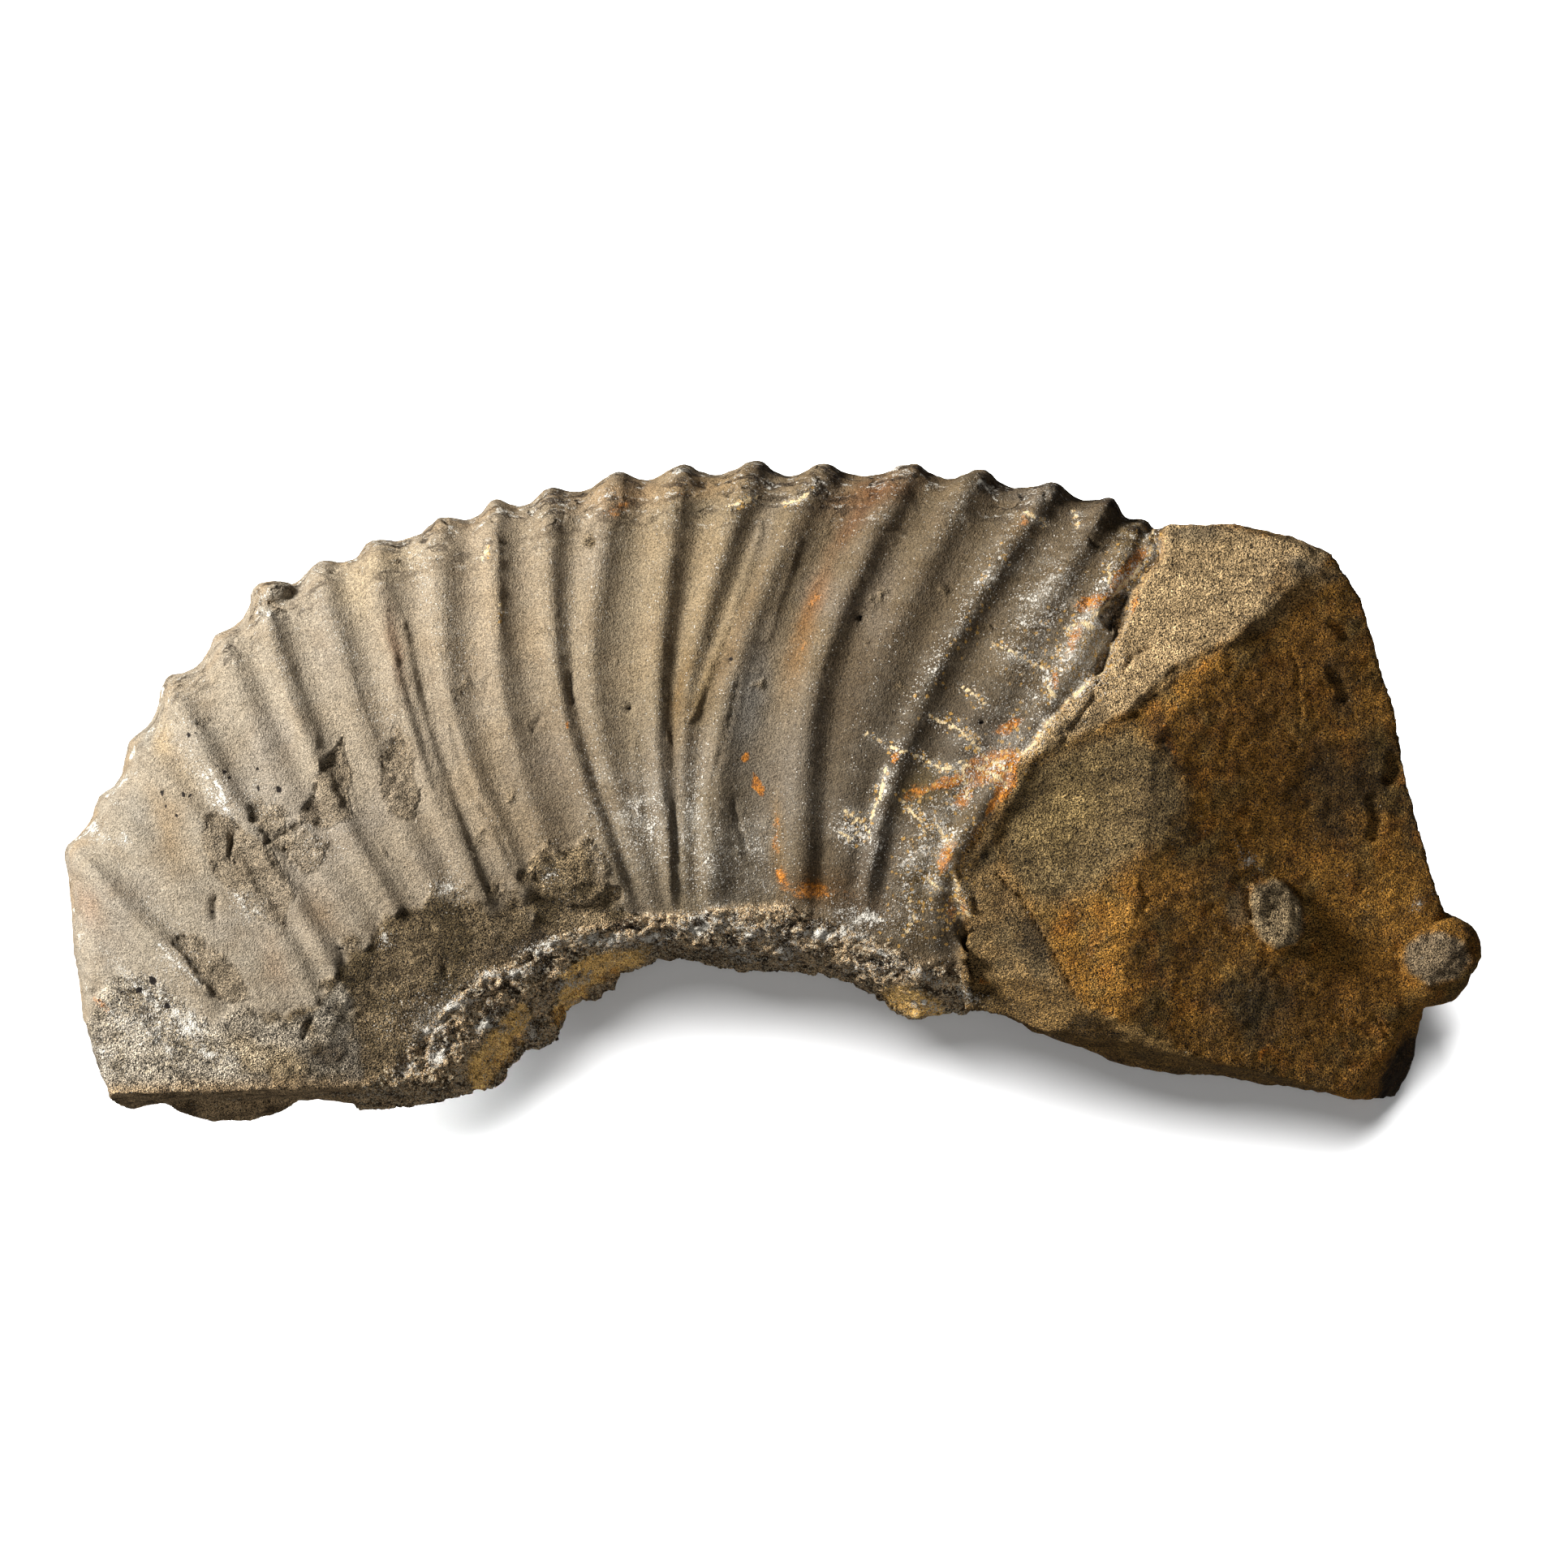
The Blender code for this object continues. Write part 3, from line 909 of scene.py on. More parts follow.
class Surface:
    """Places and masks at every vertex of the fused stone."""

    def __init__(self, points, normals, guide):
        self.points = points
        self.normals = normals
        self.at = photo_places(points)
        wobble = np.stack([fractal(points, 7, 2, 71), fractal(points, 7, 2, 75)], axis=1)
        fray = np.stack([noise(points, 2.2, 81), noise(points, 2.2, 83)], axis=1)
        self.ragged = self.at + WOBBLE * wobble + FRAY * fray
        self.up = smooth_step(0.0, 0.35, normals[:, 2]) * smooth_step(20, 32, points[:, 2])
        distance, side, _ = line_offsets(self.ragged, BOUNDARY)
        self.past_boundary = -np.sign(side) * distance
        self.block = smooth_step(-3, 3, self.past_boundary)
        self.row, self.u, self.ribs = guide.places(points)
        self.foot = smooth_step(-6, 0, (points - FOOT_BREAK[0]) @ plane_normal(FOOT_BREAK))
        soft = patch(self.ragged, MATRIX, 90) + 0.45 * fractal(points, 9, 3, 85)
        self.matrix = smooth_step(0.3, 0.75, soft) * (1 - self.block)
        self.crust = self.crust_mask()
        self.foot_rough = patch(self.ragged, FOOT_ROUGH, 10)
        # Orange crust patches; their paint is far brighter than their colour, as painted light.
        orange_and_painted_light = sum(patch(self.ragged, corners, 8) for (corners,) in ORANGE_CRUST_AND_PAINTED_LIGHT)
        above = smooth_step(30, 44, points[:, 2] + 10 * wobble[:, 0])
        self.orange_and_painted_light = np.clip(orange_and_painted_light, 0, 1) * above
        self.scars = sum(patch(self.ragged, corners, 6) for corners, _ in SCARS)
        self.floor = 0.7 * fractal(points, 2.6, 2, 31) + 0.5 * noise(points, 6, 33)

    def crust_mask(self):
        """The crumbly inner rim, seen from above and on the steep side below it."""
        below = smooth_step(1.16, 1.26, self.u) * (1 - self.block)
        return np.maximum(patch(self.ragged, CRUST, 8) * (1 - self.block), below)


class Guide:
    """Finds the rib number, place round the section and ribs' height of points near the whorl."""

    def __init__(self, grid, rows, shares, ribs):
        self.tree = kdtree.KDTree(grid.shape[0] * grid.shape[1])
        for k, point in enumerate(grid.reshape(-1, 3).tolist()):
            self.tree.insert(point, k)
        self.tree.balance()
        self.grid = grid
        self.rows, self.shares, self.ribs = rows, shares, ribs
        self.ahead = np.gradient(grid, axis=0)
        self.aside = (np.roll(grid, -1, 1) - np.roll(grid, 1, 1)) / 2

    def places(self, points):
        found = np.fromiter((self.tree.find(p)[1] for p in points.tolist()), int, len(points))
        i, j = np.divmod(found, self.grid.shape[1])
        gap = points - self.grid[i, j]
        row = self.rows[i] + np.gradient(self.rows)[i] * share_along(gap, self.ahead[i, j])
        step = (np.roll(self.shares, -1) - np.roll(self.shares, 1)) / 2
        return row, self.shares[j] + step[j] * share_along(gap, self.aside[i, j]), self.ribs[i, j]


def share_along(gap, step):
    """How many of its steps each gap reaches, one at most."""
    return np.clip((gap * step).sum(1) / (step**2).sum(1), -1, 1)


def plane_normal(points):
    """Unit vector of the plane through three points, pointing away from the stone's middle."""
    a, b, c = (np.array(p, float) for p in points)
    normal = np.cross(b - a, c - a)
    normal /= np.linalg.norm(normal)
    return normal if normal @ a > 0 else -normal


def hollows(s):
    lift = np.zeros(len(s.points))
    for (centre,), radius, depth in HOLLOWS:
        near = np.maximum(0, 1 - ((s.points - centre) ** 2).sum(1) / radius**2)
        lift -= depth * near**2
    return lift * smooth_step(-20, 20, s.past_boundary)


def filled_dip(s):
    """Brings the end of the whorl and the block beside it nearly to one level."""
    y, past = s.at[:, 1], s.past_boundary
    lower = smooth_step(1060, 1140, y) * smooth_step(1290, 1230, y)
    fill = 3.6 * smooth_step(55, 0, past) * smooth_step(-4, 8, past)
    drop = 1.2 * smooth_step(-40, 0, past) * smooth_step(4, -4, past)
    upper = smooth_step(620, 690, y) * smooth_step(1010, 950, y)
    seam = 2.6 * smooth_step(120, 0, past) * smooth_step(-2, 12, past)
    worn = 0.9 * smooth_step(-60, 0, past) * smooth_step(4, -4, past)
    return s.up * (lower * (fill - drop) + upper * (seam - worn))


def marks(s):
    """Height of the named marks, on the part that the camera sees."""
    lift = np.zeros(len(s.points))
    for corners, depth in SCARS:
        lift -= patch(s.ragged, corners, 4) * (depth - s.floor)
    for corners, height in NODULES:
        lift += patch(s.ragged, corners, 5) * (height + 1.2 * s.floor)
    for line, width, depth in GROOVES:
        lift -= depth * stroke(s.at + 0.35 * (s.ragged - s.at), line, width)
    for line, width, height in RIDGES:
        lift += height * stroke(s.at + 0.25 * (s.ragged - s.at), line, width, 0.15) ** 0.8
    for line, height, reach in STEPS:
        near = near_box(s.at, line, reach)
        distance, side, share = line_offsets(s.ragged[near], line)
        ends = smooth_step(0, 0.08, share) * smooth_step(1, 0.92, share)
        signed = np.sign(side) * distance * np.sign(height)
        step = smooth_step(-2, 2, signed) * np.maximum(0, 1 - distance / reach) ** 1.5
        lift[near] += abs(height) * step * ends
    for (centre,), radius, depth in PITS:
        lift -= depth * disc(s.at, centre, radius, 1.5)
    return lift * s.up


def ledges(s):
    """Where thin broken layers follow the outer edge of the coil."""
    place = smooth_step(0.26, 0.08, s.u) * smooth_step(0.2, 0.5, s.points[:, 2] / 90)
    place *= 1 - s.block
    place *= smooth_step(4, 7, s.row)
    return place * smooth_step(-0.5, 0.2, fractal(s.points, 16, 2, 43))


def whorl_grain(s):
    """Low relief of the shell surface: soft dents, streaks along the ribs and fine grain."""
    p = s.points
    streaks = noise(np.stack([s.row * 9, s.u * 2.5, p[:, 2] * 0], axis=1), 1, 51)
    soft = 0.36 * fractal(p, 17, 2, 53) + 0.14 * noise(p, 3.6, 57)
    grain = 0.12 * noise(p, 1.8, 59) * smooth_step(-0.3, 0.5, noise(p, 24, 61))
    return soft + grain + 0.09 * streaks * smooth_step(1.25, 1.05, s.u)


def rock_grain(s):
    """Broken rock: facets, small ledges and grain."""
    p = s.points
    tilt = p @ np.array(((0.8, 0.3, 0.2), (-0.3, 0.9, 0.1), (0.1, -0.2, 1.0)))
    facets = 0.8 * fractal(tilt, 21, 2, 11) + 0.3 * (ridged(tilt, 12, 2, 15) - 0.5)
    sides = smooth_step(0.5, 0.1, s.normals[:, 2]) * fractal(tilt, 17, 3, 21)
    grain = 0.34 * noise(p, 3.0, 17) + 0.2 * noise(p, 1.7, 19)
    return facets + 1.1 * sides + grain


def crust_grain(s):
    """Crumbly crust: angular grains of two sizes with gaps between them, in layers along it."""
    chosen = np.flatnonzero(s.crust > 0.01)
    p = s.points[chosen]
    p = p + 1.5 * np.stack([noise(p, 5, seed) for seed in (91, 92, 93)], axis=1)
    along = np.stack([s.row[chosen] * 1.1, s.u[chosen] * 9.0, p[:, 2] * 0.04], axis=1)
    first, second, tag = cells(p, 5.0, 95)
    small_first, small_second, small_tag = cells(p, 2.2, 97)
    coarse = (tag - 0.5) * 1.8 - 1.0 * smooth_step(0.2, 0.0, second - first)
    fine = (small_tag - 0.5) * 0.9 - 0.4 * smooth_step(0.2, 0.0, small_second - small_first)
    lift = np.zeros(len(s.points))
    lift[chosen] = coarse + fine + 1.4 * ridged(along, 1.0, 2, 99)
    return lift


def relief(s):
    """Outward shift of every vertex in millimetres."""
    rocky = np.clip(s.block + s.matrix + 0.8 * s.foot + 0.7 * s.foot_rough, 0, 1) * (1 - s.crust)
    smooth = np.clip(1 - rocky - s.crust, 0, 1)
    lift = smooth * whorl_grain(s) + rocky * rock_grain(s) + 0.9 * s.crust * crust_grain(s)
    lift -= 0.8 * s.matrix + 0.5 * s.foot_rough * (1 - s.matrix)
    lift -= 0.9 * s.ribs * np.maximum(s.matrix, 0.6 * s.foot_rough)
    edge = smooth_step(0.25, 0.06, s.u) * (1 - s.block)
    lift += edge * (0.6 * fractal(s.points, 8, 2, 47) + 0.5 * (ridged(s.points, 4, 2, 49) - 0.6))
    return lift + marks(s) + hollows(s) + filled_dip(s)


# -------------------- colours


def ink(red, green, blue):
    """Linear colour of 0 to 255 screen values."""
    values = np.array((red, green, blue)) / 255
    return np.where(values > 0.04045, ((values + 0.055) / 1.055) ** 2.4, values / 12.92)


class Paint:
    """Base colour at every vertex, built up in layers of screen colours."""

    def __init__(self, colour):
        self.colour = colour

    def layer(self, colour, amount):
        self.colour += np.clip(amount, 0, 1)[:, None] * (ink(*colour) - self.colour)

    def patches(self, colour, amount, low, high, mottling):
        """A layer only where a noise is high."""
        self.layer(colour, amount * smooth_step(low, high, mottling))


SHELL_TONES = table("""
166,154,134 80
170,156,134 350
164,147,122 600
150,132,102 850
122,104,77 1050
112,96,72 1250
108,91,66 1400
""")


def shell_tone(s):
    places = [place for _, place in SHELL_TONES]
    tones = np.array([ink(*colour) for (colour,), _ in SHELL_TONES])
    return np.stack([np.interp(s.at[:, 0], places, tones[:, k]) for k in range(3)], axis=1)


# Ovals on the shell, mostly stains: colour, centre, half sizes, turn, strength.
# Some are painted light and shade. The pale oval at 1345,795 is cream dust and painted light on a
# shaded strip by the block,
# the dark oval at 1298,884 is a painted shadow below a step, and the dark one at 1376,757 is
# painted shade in a hole.
SHELL_STAINS_AND_PAINTED_LIGHT = table("""
186,156,108 200,912 30,14 80 0.4
184,156,112 225,950 40,18 70 0.2
150,124,88 207,1030 56,18 80 0.5
156,124,96 108,1115 34,16 70 0.35
140,138,128 180,900 40,16 120 0.4
150,144,132 160,990 60,20 50 0.3
150,122,88 392,1124 34,22 60 0.4
150,124,96 340,1190 40,16 70 0.4
186,164,126 440,735 40,26 80 0.3
190,168,130 480,690 60,26 160 0.3
140,108,82 488,800 60,9 80 0.5
180,154,112 620,600 160,14 160 0.25
160,126,86 770,610 60,22 170 0.5
164,130,84 880,600 60,16 175 0.4
112,76,44 1075,606 60,20 160 0.8
120,82,50 1052,642 50,14 125 0.6
134,90,46 1000,745 56,12 112 0.7
132,98,56 984,800 60,14 105 0.6
116,92,56 838,860 80,13 100 0.8
150,122,76 866,850 70,9 112 0.4
112,90,60 905,790 120,12 112 0.7
126,120,110 925,860 90,26 100 0.7
138,128,114 970,950 110,40 100 0.5
80,68,50 1120,890 160,70 115 1
110,98,80 1060,960 120,50 105 0.5
150,114,56 958,1030 60,9 88 0.6
110,80,42 1010,1095 50,26 10 0.8
110,92,72 1080,1120 60,26 10 0.6
124,100,58 1150,1060 100,40 112 0.6
110,90,46 1130,975 50,26 150 0.6
76,66,54 1090,1000 80,12 112 0.6
92,78,58 1170,870 60,36 125 0.5
112,88,52 1260,640 30,14 125 0.6
70,62,50 1298,884 36,8 130 0.5
196,172,134 1345,795 60,18 122 0.8
80,66,48 1050,850 90,34 112 0.5
44,34,24 1376,757 22,12 110 0.95
128,106,66 1400,660 30,24 110 0.6
140,128,110 800,1010 80,50 95 0.5
132,122,106 900,1040 70,60 90 0.5
136,118,94 690,960 110,60 85 0.5
""")
# Ovals on the block, listed as for the shell, mostly stains. The pale oval at 1310,1000 is painted
# light on the left
# of the shallow hollow there, and the dark oval at 1415,985 is painted shade on its right.
BLOCK_STAINS_AND_PAINTED_LIGHT = table("""
158,110,48 1560,900 100,60 100 0.6
180,126,54 1610,780 80,40 80 0.7
84,64,34 1650,975 80,60 100 0.9
74,58,34 1650,850 50,24 80 0.7
82,68,42 1548,1240 70,56 160 0.9
70,52,26 1460,1170 80,26 150 0.5
60,50,34 1276,1160 46,20 70 0.8
160,112,48 1440,1100 90,36 150 0.6
158,112,44 1720,1110 60,60 60 0.7
152,106,44 1660,1230 110,40 150 0.7
150,130,96 1525,1120 16,36 0 0.6
160,134,86 1310,1000 44,70 20 0.8
108,88,58 1415,985 30,50 0 0.6
100,86,64 1474,656 44,12 0 0.8
112,102,84 1605,696 24,10 20 0.7
96,64,28 1430,900 44,16 60 0.8
84,76,58 1440,925 18,8 70 0.7
60,48,30 1345,884 44,10 155 0.7
184,146,86 1405,1276 80,8 25 0.8
150,108,60 1700,1330 60,12 0 0.3
""")
RIM_STAINS = table("""
62,50,34 405,1300 48,18 5 0.85
92,82,64 188,1232 34,12 40 0.7
86,76,58 225,1290 30,12 60 0.6
186,164,128 320,1300 60,22 10 0.6
56,44,30 650,1166 60,20 165 0.8
60,48,34 520,1240 50,20 140 0.5
66,52,36 860,1180 120,10 5 0.6
64,50,36 1100,1190 60,9 25 0.6
140,118,84 480,1330 60,14 165 0.6
""")


def oval_stains_and_painted_light(s, paint, stains, mask, broken=0.0):
    """Soft ovals of colour, stains and some painted light and shade; `broken` frays them into
    patches.
    """
    fray = broken * fractal(s.points, 9, 3, 117)
    for (colour, centre, sizes), turn, strength in stains:
        place = spot(s.ragged, centre, sizes, turn)
        frayed = smooth_step(0.05, 0.95, place + fray * smooth_step(0.02, 0.2, place))
        paint.layer(colour, strength * mask * (frayed if broken else 1.15 * place))


def paint_whorl(s, paint):
    p = s.points
    slow = fractal(p, 34, 2, 101)
    paint.patches((172, 146, 108), 0.25, 0.1, 0.8, slow)
    paint.patches((146, 136, 124), 0.3, 0.1, 0.8, -slow)
    paint.patches((128, 110, 86), 0.3, 0.0, 0.8, fractal(p, 9, 2, 105))
    # Painted shade on the side of each rib turned away from the light, stronger towards the right.
    painted_rib_shade = 0.5 + 0.5 * np.cos(2 * np.pi * (s.row - 0.22))
    paint.layer((80, 66, 48), 0.45 * painted_rib_shade**2 * smooth_step(300, 1000, s.at[:, 0]))
    oval_stains_and_painted_light(s, paint, SHELL_STAINS_AND_PAINTED_LIGHT, s.up)
    lower = smooth_step(780, 1000, s.at[:, 1:2]) * smooth_step(480, 700, s.at[:, :1])
    paint.colour *= 0.85 - 0.2 * lower
    edge = smooth_step(0.16, 0.0, s.u)
    paint.patches((150, 124, 88), 0.5 * edge, -0.2, 0.5, noise(p, 9, 107))
    paint.patches((92, 76, 56), 0.6 * edge, 0.1, 0.6, noise(p, 5, 109))
    paint.layer((126, 109, 84), 0.5 * s.scars * s.up)


def paint_block(s, paint):
    p = s.points
    mid = fractal(p, 11, 2, 113)
    whole = s.block
    sandy, scoop = patch(s.ragged, SANDY_FACE, 10), patch(s.ragged, SCOOP, 40)
    grey, strip = patch(s.ragged, GREY_SIDE, 24), patch(s.ragged, FRONT_STRIP, 10)
    paint.layer((150, 106, 42), whole)
    paint.patches((102, 77, 37), whole, 0.0, 0.7, fractal(p, 26, 3, 111))
    paint.patches((124, 100, 54), 0.6 * whole, 0.0, 0.7, mid)
    paint.patches((156, 100, 36), 0.5 * whole, 0.1, 0.7, fractal(p, 7, 2, 115))
    paint.layer((178, 150, 108), sandy)
    paint.patches((138, 114, 78), 0.7 * sandy, 0.1, 0.6, mid)
    paint.layer((150, 120, 76), patch(s.ragged, EDGE_FACE, 12))
    paint.layer((122, 101, 65), scoop)
    paint.patches((100, 82, 52), 0.6 * scoop, 0.1, 0.7, -mid)
    paint.layer((130, 108, 72), 0.8 * grey)
    paint.patches((78, 66, 44), 0.7 * grey, 0, 0.6, mid)
    paint.layer((114, 88, 48), 0.9 * strip)
    paint.patches((84, 68, 42), 0.6 * strip, 0.1, 0.7, mid)
    oval_stains_and_painted_light(s, paint, BLOCK_STAINS_AND_PAINTED_LIGHT, whole * s.up, 0.4)
    for (outline, _), colour in zip(NODULES, ((140, 120, 88), (126, 108, 82))):
        paint.layer(colour, whole * s.up * patch(0.5 * (s.at + s.ragged), outline, 7))
    # Painted shadow: the lower right corner facet is made nearly black.
    paint.layer((30, 22, 12), 0.9 * whole * patch(s.ragged, CORNER_PAINTED_SHADOW, 8))


def paint_rim(s, paint):
    p = s.points
    paint.layer((122, 104, 76), s.matrix)
    paint.patches((84, 70, 46), s.matrix, -0.1, 0.7, fractal(p, 12, 3, 121))
    rough = s.foot_rough
    paint.patches((176, 164, 144), 0.85 * rough, -0.5, 0.3, fractal(p, 10, 3, 123))
    paint.patches((104, 92, 72), 0.7 * rough, 0.1, 0.6, fractal(p, 6, 3, 129))
    paint.layer((166, 140, 104), s.foot)
    paint.patches((84, 66, 44), 0.8 * s.foot, 0.0, 0.6, fractal(p, 7, 3, 119))
    paint.layer((188, 160, 122), s.crust)
    paint.patches((66, 50, 34), 0.9 * s.crust, 0, 0.4, fractal(p, 5, 3, 125))
    # Orange crust: its own colour, painted far brighter as painted light on faces turned from the
    # lamps.
    paint.patches((255, 206, 124), s.orange_and_painted_light, -0.9, 0.0, noise(p, 5, 127))
    oval_stains_and_painted_light(s, paint, RIM_STAINS, (1 - s.block) * np.maximum(s.up, s.crust), 0.4)


def colours(s):
    paint = Paint(0.8 * shell_tone(s))
    paint_whorl(s, paint)
    paint_rim(s, paint)
    paint_block(s, paint)
    return np.clip(paint.colour, 0.004, 1)


def strongest(s, ovals):
    found = np.zeros(len(s.points))
    for (centre, sizes), turn, strength in ovals:
        found = np.maximum(found, strength * spot(s.ragged, centre, sizes, turn))
    return found * s.up


# The white worn edge of the coil ends at this column of the photo.
WORN_EDGE_END = 1420


def masks(s):
    """Strength of each kind of staining, by the shader's attribute names."""
    p = s.points
    fray = s.at + 0.4 * (s.ragged - s.at)
    shell = 1 - s.block
    beside_veins = strokes(s.ragged, VEINS, 5, 0.3)
    crystals = strongest(s, [(*oval, 1.0) for oval in CRYSTALS])
    crumbs = smooth_step(-0.4, 0.6, noise(p, 4.0, 131) + 0.5 * noise(p, 1.6, 132))
    clumps = 0.45 + 0.75 * smooth_step(-0.5, 0.7, fractal(p, 6, 3, 139))

    edge = smooth_step(0.2, 0.02, s.u) * shell * s.up * (s.at[:, 0] < WORN_EDGE_END)
    white = 0.42 * strokes(s.ragged, WHITE, 1.2, 0.3)
    white = np.maximum(white, crystals * (0.2 + 0.45 * crumbs))
    white = np.maximum(white, 0.45 * edge * smooth_step(0.1, 0.7, fractal(p, 7, 2, 137)))

    specks = np.zeros(len(p))
    for (centre,), radius in SPECKS:
        specks = np.maximum(specks, disc(s.at, centre, radius, 1))

    ribs = rib_height(s.row) * smooth_step(9, 14, s.row) * shell * (1 - s.crust)
    beside_white = strokes(s.ragged, WHITE, 5, 0.4)
    dust = strongest(s, POWDER) * clumps + 0.09 * ribs + 0.03 * shell + 0.4 * beside_white * s.up
    dust = dust + 0.9 * crystals + 0.45 * s.crust * smooth_step(-0.2, 0.7, noise(p, 5, 133))
    dust = dust + 0.45 * beside_veins * s.up

    rocky = s.block + s.matrix + s.foot + s.foot_rough + s.crust + 0.5 * s.scars
    network = 0.65 * s.foot_rough * spot(s.ragged, (205, 1262), (110, 70), 50)
    return {
        "powder": dust,
        "gold": strongest(s, GOLD) * clumps + 0.7 * beside_veins * s.up,
        "rust": strongest(s, RUST),
        "veins": strokes(fray, VEINS, 0.75, 0.2) * s.up,
        "white": white * s.up,
        "specks": specks * s.up,
        "rocky": np.clip(rocky, 0, 1) - 0.5 * s.orange_and_painted_light,
        "flow": np.stack([s.row, s.u, ledges(s)], axis=1),
        "crust": np.maximum(s.crust * (1 - 0.8 * s.orange_and_painted_light), network),
    }


# -------------------- material

TONES = {
    "crumb": (216, 198, 166),
    # The seam tone is painted shade at the foot of each thin edge layer's step.
    "seam": (48, 36, 26),
    "dark rust": (130, 76, 20),
    "light rust": (186, 114, 30),
    "gold": (188, 144, 72),
    "haze": (184, 176, 160),
    "dust": (222, 214, 200),
    "vein": (222, 196, 150),
    "white": (232, 224, 208),
    "speck": (34, 28, 24),
}
WARM, COOL = (1.02, 1.00, 0.98, 1.0), (0.97, 0.97, 0.98, 1.0)


def tone(name):
    return (*[float(c) for c in ink(*TONES[name])], 1.0)


def add_attribute(mesh, name, values):
    kind = "FLOAT_COLOR" if values.ndim == 2 else "FLOAT"
    attribute = mesh.attributes.new(name, kind, "POINT")
    if values.ndim == 2:
        four = np.concatenate([values, np.ones((len(values), 1))], axis=1)
        attribute.data.foreach_set("color", four.astype(np.float32).ravel())
    else:
        attribute.data.foreach_set("value", values.astype(np.float32))


class Value:
    """A number in the shader. A product has no node until it is used, so a * b + c takes one."""

    def __init__(self, shader, socket=None, factors=()):
        self.shader, self.made, self.factors = shader, socket, factors

    @property
    def socket(self):
        if self.made is None:
            self.made = self.shader.math("MULTIPLY", *self.factors).made
        return self.made

    def __mul__(self, other):
        return Value(self.shader, factors=(self, other))

    def __add__(self, other):
        for product, rest in ((self, other), (other, self)):
            if getattr(product, "factors", ()):
                return self.shader.math("MULTIPLY_ADD", *product.factors, rest)
        return self.shader.math("ADD", self, other)

    def __sub__(self, other):
        return self.shader.math("SUBTRACT", self, other)

    def __rsub__(self, other):
        return self.shader.math("SUBTRACT", other, self)


class Shader:
    """Short calls for wiring a shader. Sizes are in millimetres."""

    def __init__(self, tree):
        self.tree = tree
        self.place = self.node("TexCoord").outputs["Object"]
        bend = self.texture("Noise", 1.4, self.place).outputs["Color"]
        self.bent = self.vector("ADD", self.place, self.vector("SCALE", bend, 1.2 * MM))

    def node(self, kind, inputs=None, **settings):
        node = self.tree.nodes.new("ShaderNode" + kind)
        for name, value in settings.items():
            setattr(node, name, value)
        for name, value in (inputs or {}).items():
            self.link(value, node.inputs[name])
        return node

    def link(self, value, socket):
        value = getattr(value, "socket", value)
        if isinstance(value, bpy.types.NodeSocket):
            self.tree.links.new(value, socket)
        else:
            socket.default_value = value

    def texture(self, kind, size, place, **inputs):
        return self.node("Tex" + kind, {"Scale": 1 / (size * MM), "Vector": place, **inputs})

    def attribute(self, name, output="Fac"):
        return Value(self, self.node("Attribute", attribute_name=name).outputs[output])

    def math(self, operation, *values):
        node = self.node("Math", dict(enumerate(values)), operation=operation)
        return Value(self, node.outputs[0])

    def vector(self, operation, one, two):
        second = "Scale" if operation == "SCALE" else 1
        return self.node("VectorMath", {0: one, second: two}, operation=operation).outputs[0]

    def contrast(self, value, amount):
        """A factor round 1 that follows a noise."""
        return (value - 0.5) * amount + 1.0

    def noise(self, size, detail=2.0, roughness=0.55, place=None):
        """Noise whose lumps are about `size` millimetres across, from 0 to 1."""
        node = self.texture("Noise", size, place or self.place, Detail=detail, Roughness=roughness)
        return Value(self, node.outputs["Fac"])

    def grains(self, size, amount):
        """Separate crooked grains of one size; `amount` is the share of them that is there."""
        cell = self.texture("Voronoi", size, self.bent).outputs
        chance = Value(self, self.node("SeparateColor", {0: cell["Color"]}).outputs[0])
        return self.ramp(amount - chance, 0.0, 0.04) * self.ramp(cell["Distance"], 0.62, 0.42)

    def ramp(self, value, low, high):
        """0 at `low`, 1 at `high`."""
        inputs = {"Value": value, "From Min": low, "From Max": high}
        node = self.node("MapRange", inputs, interpolation_type="SMOOTHSTEP")
        return Value(self, node.outputs["Result"])

    def mix(self, amount, one, two, blend="MIX"):
        inputs = {0: amount, 6: one, 7: two}
        return self.node("Mix", inputs, data_type="RGBA", blend_type=blend).outputs[2]

    def shown(self, mask, grain, bite, soft=0.12):
        """Where a mask shows through a noise: solid at 1, scattered patches lower down."""
        return self.ramp(self.attribute(mask) * bite + grain, 1.0 - soft, 1.0 + soft)


